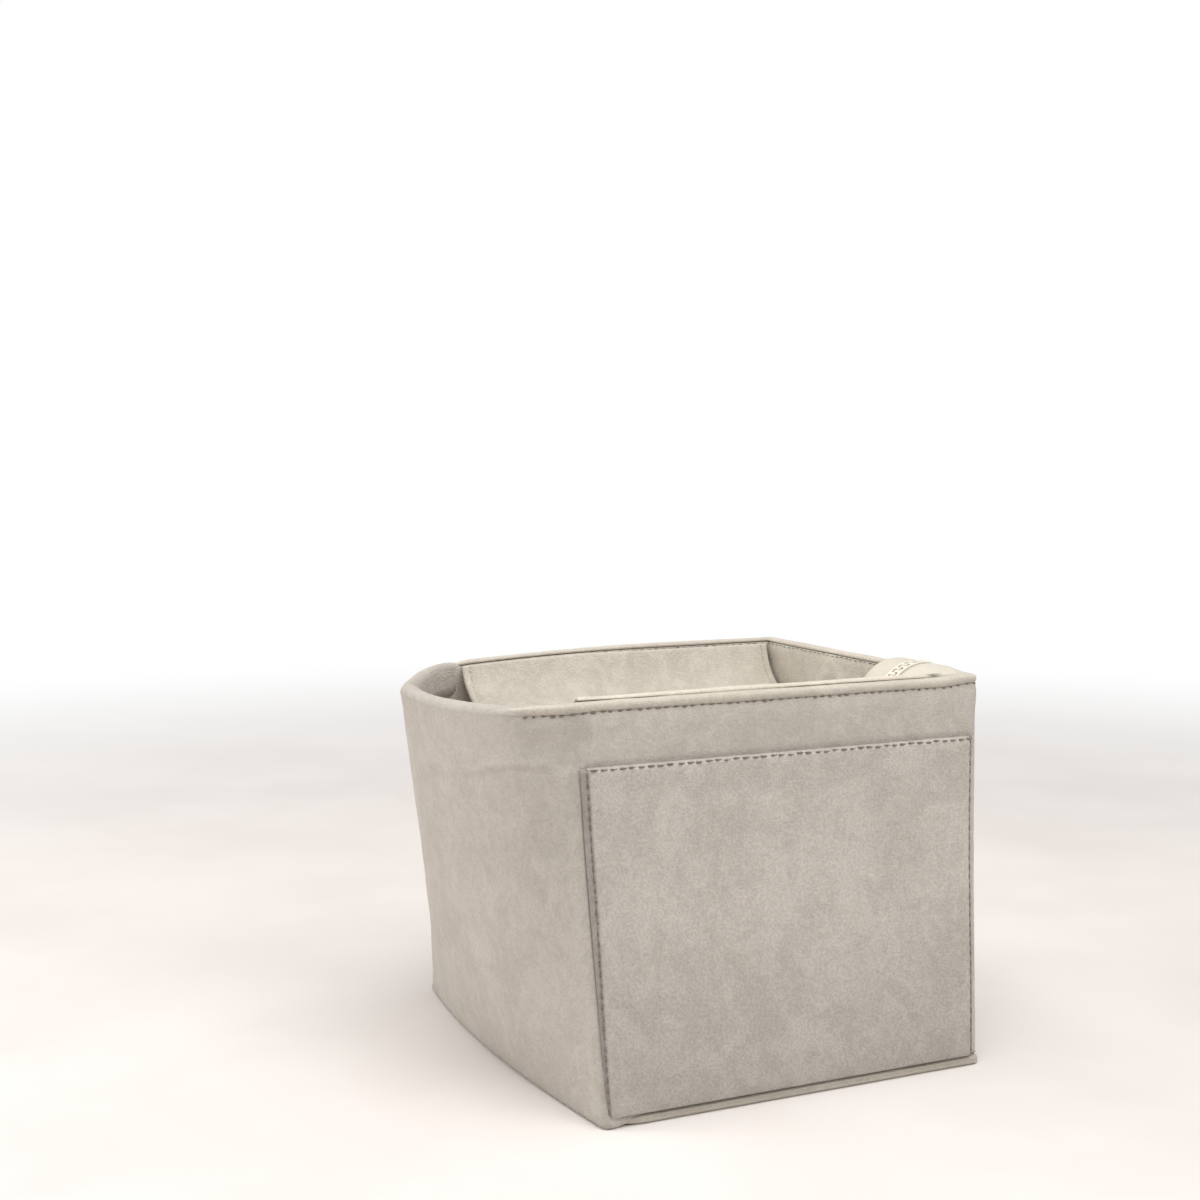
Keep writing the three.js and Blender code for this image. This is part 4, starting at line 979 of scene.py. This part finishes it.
# Rings of points along a stitch as (place, width, lift).
THREAD_RINGS = [
    (-0.5, 0.3, -0.3), (-0.42, 0.8, -0.12), (-0.25, 1, 0.1), (0, 1, 0.18), (0.25, 1, 0.1),
    (0.42, 0.8, -0.12), (0.5, 0.3, -0.3),
]
SIDES, HOLE_SIDES = 6, 8
UNEVEN = np.random.RandomState(21)

# Distances of a seam from the edge beside it.
EDGE_SEAM, FLANGE_SEAM, HEM = 0.75, 0.15, 3.2


def ring(count):
    """Angles of the points round a ring, and its pairs of neighbours."""
    return 2 * math.pi * np.arange(count) / count, [(k, (k + 1) % count) for k in range(count)]


def capsule(middle, along, side, up, length, radius):
    """Points and faces of one stitch that dips into the cloth at both ends."""
    turns, pairs = ring(SIDES)
    points = [
        middle + along * share * length + up * lift * radius * 1.6
        + radius * wide * (side * math.cos(turn) + up * math.sin(turn))
        for share, wide, lift in THREAD_RINGS for turn in turns
    ]
    last = (len(THREAD_RINGS) - 1) * SIDES
    faces = [
        [r + k, r + after, r + SIDES + after, r + SIDES + k]
        for r in range(0, last, SIDES) for k, after in pairs
    ]
    return points, faces + [list(range(SIDES))[::-1], [last + k for k in range(SIDES)]]


def needle_hole(middle, along, side, up, reach):
    """Points and faces of a flat lens a little proud of the cloth, dark as the painted shadow of a
    needle hole's dimple.
    """
    turns, pairs = ring(HOLE_SIDES)
    points = [
        middle + up * 0.03 + reach * (along * math.cos(t) + side * 0.7 * math.sin(t)) for t in turns
    ]
    points += [middle + up * 0.07, middle - up * 0.3]
    return points, [f for a, b in pairs for f in ([a, b, HOLE_SIDES], [b, a, HOLE_SIDES + 1])]


def at_distance(values, reach, where):
    """Values of shape (points, 3) at a place among the points' distances, reach."""
    return np.array([np.interp(where, reach, values[:, k]) for k in range(3)])


def directions(path, normal, reach, at):
    """Unit directions along a row of stitches, across it and out of the cloth."""
    along = at_distance(path, reach, at + 0.4) - at_distance(path, reach, at - 0.4)
    along /= np.linalg.norm(along)
    up = at_distance(normal, reach, at)
    up = up - along * up.dot(along)
    up /= np.linalg.norm(up)
    return along, np.cross(up, along), up


def stitch_row(
    name, rows, body="insert", *, pitch, length, radius, hole, sunk, color=THREAD, uneven=0.12
):
    """Thread stitches along open rows of (points, normals), each with a dark lens at its end, the
    painted shadow of a needle hole.
    """
    made = {"stitch": ([], []), "hole": ([], [])}
    for path, normal in rows:
        reach = run(path)
        count = int(reach[-1] // pitch)
        for i in range(count):
            slip, across, wide = UNEVEN.uniform(-1, 1, 3) * uneven
            at = (i + 0.5 + slip * 0.5) * reach[-1] / count
            along, side, up = directions(path, normal, reach, at)
            middle = at_distance(path, reach, at) - up * sunk + side * across
            size = length * (1 + wide), radius * (1 + 0.6 * wide)
            end = middle + up * sunk + along * (length * 0.5 + 0.12)
            for kind, (points, faces) in (
                ("stitch", capsule(middle, along, side, up, *size)),
                ("hole", needle_hole(end, along, side, up, hole)),
            ):
                base = len(made[kind][0])
                made[kind][0].extend(points)
                made[kind][1].extend([[base + k for k in f] for f in faces])
    for kind, material in (("stitch", color), ("hole", HOLE_SHADOW)):
        points, faces = made[kind]
        obj = piece(f"{name}_{kind}", np.array(points) * MM, faces, material)
        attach(obj, body)


def facing_out(path, outward):
    """A row of stitches along a path, all facing one way."""
    return [(path, np.tile(np.array(outward, float), (len(path), 1)))]


def on_row(grid, height, sign, columns, rows=slice(None), tilt=0.3):
    """A row of stitches on a wall's grid, at a height given per column."""
    line, normal = np.array([
        [at_distance(values[rows, c], grid[rows, c, 2], height[c]) for c in columns]
        for values in (grid, normals(grid, True) * sign)
    ])
    normal[:, 2] *= tilt
    return [(line, normal)]


def open_run(mask):
    """The columns where a mask is low, in order along the one run that they form."""
    columns = np.flatnonzero(mask < 0.3)
    breaks = np.flatnonzero(np.diff(columns) > 1)
    return np.roll(columns, -(breaks[0] + 1)) if len(breaks) else columns


def nearest(values, target):
    return np.argmin(np.abs(values - target))


BOUND, PIPED = open_run(FOLD), open_run(LIP)
WALL_ROWS = slice(len(LIP_FACE), -len(FOLD_FACE))

stitch_row(
    "rim_seam", on_row(skin_grid, RIM_LINE - BINDING_DEPTH - 0.12, 1, BOUND, WALL_ROWS),
    pitch=3.15, length=1.7, radius=0.42, hole=0.3, sunk=0.06, uneven=0.3,
)
stitch_row(
    "inner_seam", on_row(lining_grid, RIM_LINE - BINDING_INNER - 0.75, -1, BOUND),
    pitch=3.15, length=1.6, radius=0.24, hole=0.2, sunk=0.1, uneven=0.2,
)

row = nearest(pocket_drop[:, 0], EDGE_SEAM)
first = nearest(pocket_left[len(pocket_left) // 2], FLANGE_SEAM) + 1
top_line = pocket_face[row, first:nearest(pocket_right[0], EDGE_SEAM)]
stitch_row(
    "pocket_top", facing_out(top_line, (0, -1, 0.25)),
    pitch=3.3, length=2.1, radius=0.36, hole=0.28, sunk=0.08, uneven=0.2,
)
for name, distances, seam, lean in (
    ("left", pocket_left, FLANGE_SEAM, -0.4), ("right", pocket_right, EDGE_SEAM, 0.4),
):
    path = np.array([pocket_face[k, nearest(distances[k], seam)] for k in range(2, row)])
    stitch_row(
        f"pocket_{name}", facing_out(path, (lean, -1, 0)),
        pitch=3.2, length=1.7, radius=0.3, hole=0.24, sunk=0.1, uneven=0.2,
    )

stitch_row(
    "base_seam", on_row(skin_grid, np.full(COLUMNS, WELT_HEIGHT + 0.55), 1, PIPED, WALL_ROWS),
    pitch=3.2, length=1.9, radius=0.2, hole=0.24, sunk=0.14,
)

across = np.abs(flap_face[-1, :, 0] - flap_face[-1, 0, 0])
left_hem, right_hem = nearest(across, HEM), nearest(across[-1] - across, HEM)
bottom_hem, flap_n = nearest(run(flap_face[:, 5])[1:], HEM), normals(flap_face, False)
sides, foot = slice(bottom_hem, -3), slice(left_hem, right_hem + 1)
hem_lines = [(sides, right_hem), (sides, left_hem), (bottom_hem, foot)]
stitch_row(
    "flap_hem", [(flap_face[at], flap_n[at]) for at in hem_lines], "cover_flap",
    pitch=3.0, length=2.1, radius=0.26, hole=0.26, sunk=0.0, color=PALE_THREAD,
)


# ---- Floor, light and camera

WHITE, FLOOR_HALF = (1.0, 1.0, 1.0, 1.0), 6.0


def make_floor():
    """A pale floor that fades to plain white with distance, for the camera only."""
    s = Shade("studio_floor")
    ray = s.node("LightPath").outputs
    seen = s.math("MAXIMUM", ray["Is Glossy Ray"], ray["Is Transmission Ray"])
    seen = s.math("MAXIMUM", ray["Is Camera Ray"], seen)
    distance = s.node("VectorMath", {"operation": "LENGTH"}, {0: s.at}).outputs["Value"]
    far = s.math("MULTIPLY", s.ramp(distance, 0.3, 1.1), seen)
    mottled = s.mix(s.ramp(s.noise(9.0, 3.0), 0.3, 0.7), rgb(226, 220, 217), rgb(232, 227, 224))
    near = s.node("BsdfDiffuse", Color=mottled).outputs[0]
    white = s.node("Emission", Color=WHITE, Strength=1.0).outputs[0]
    s.node("OutputMaterial", Surface=s.blend(far, near, white))
    mesh = bpy.data.meshes.new("floor")
    corners = [(-1, -1), (1, -1), (1, 1), (-1, 1)]
    mesh.from_pydata([(FLOOR_HALF * x, FLOOR_HALF * y, 0) for x, y in corners], [], [(0, 1, 2, 3)])
    mesh.materials.append(s.owner)
    floor = link(bpy.data.objects.new("floor", mesh))


def make_world(strength):
    """An even light from all round, which the camera sees as plain white."""
    s = Shade("studio", bpy.data.worlds)
    bpy.context.scene.world = s.owner
    camera_ray = s.node("LightPath").outputs["Is Camera Ray"]
    lit = s.node("Background", Color=(1.0, 0.99, 0.98, 1.0), Strength=strength).outputs[0]
    seen = s.node("Background", Color=WHITE, Strength=1.0).outputs[0]
    s.node("OutputWorld", Surface=s.blend(camera_ray, lit, seen))


def placed(obj, place, direction):
    """Puts an object in the scene, looking in a direction."""
    obj.location = place
    obj.rotation_mode = "QUATERNION"
    obj.rotation_quaternion = direction.to_track_quat("-Z", "Y")
    link(obj)


def area_light(name, place, target, size, watts, color):
    light = bpy.data.lights.new(name, "AREA")
    light.shape = "SQUARE"
    light.size = size
    light.energy = watts
    light.color = color
    placed(bpy.data.objects.new(name, light), place, Vector(target) - Vector(place))


def make_camera(place, azimuth, elevation, lens):
    """A camera at a place in metres, with its view's direction in degrees."""
    data = bpy.data.cameras.new("camera")
    data.sensor_width = 36
    data.lens = lens
    data.clip_start = 0.01
    camera = bpy.data.objects.new("camera", data)
    azimuth, elevation = math.radians(azimuth), math.radians(elevation)
    level = math.cos(elevation)
    ahead = (-math.sin(azimuth) * level, math.cos(azimuth) * level, -math.sin(elevation))
    placed(camera, place, Vector(ahead))
    bpy.context.scene.camera = camera


bpy.context.scene.view_settings.view_transform = "Standard"
make_floor()
make_world(strength=0.36)
for light in (
    ("top", (-0.05, -0.3, 1.15), (0, 0, 0.08), 1.0, 12.2, (1.0, 0.99, 0.975)),
    ("back_left", (-1.1, 0.55, 0.5), (-0.05, 0, 0.07), 0.6, 7.4, (1.0, 0.985, 0.96)),
    ("front", (0.55, -0.95, 0.85), (0, 0, 0.1), 0.8, 3.2, (1.0, 1.0, 1.0)),
):
    area_light(*light)
make_camera(place=(-0.2941, -0.5548, 0.2089), azimuth=-25.11, elevation=5.1, lens=53.54)

CAD_FINISH = dict.fromkeys(["front_board", "back_board", "right_board", "base_board"], BOARD)
CAD_FINISH |= dict.fromkeys([
    "zip_teeth_front", "zip_teeth_back", "zip_bottom_stop", "zip_top_stop_front",
    "zip_top_stop_back", "zip_slider", "zip_pull",
], RESIN)
for obj in bpy.data.objects:
    if obj.type == "MESH" and obj.name in CAD_FINISH:
        obj.data.materials.clear()
        obj.data.materials.append(CAD_FINISH[obj.name])
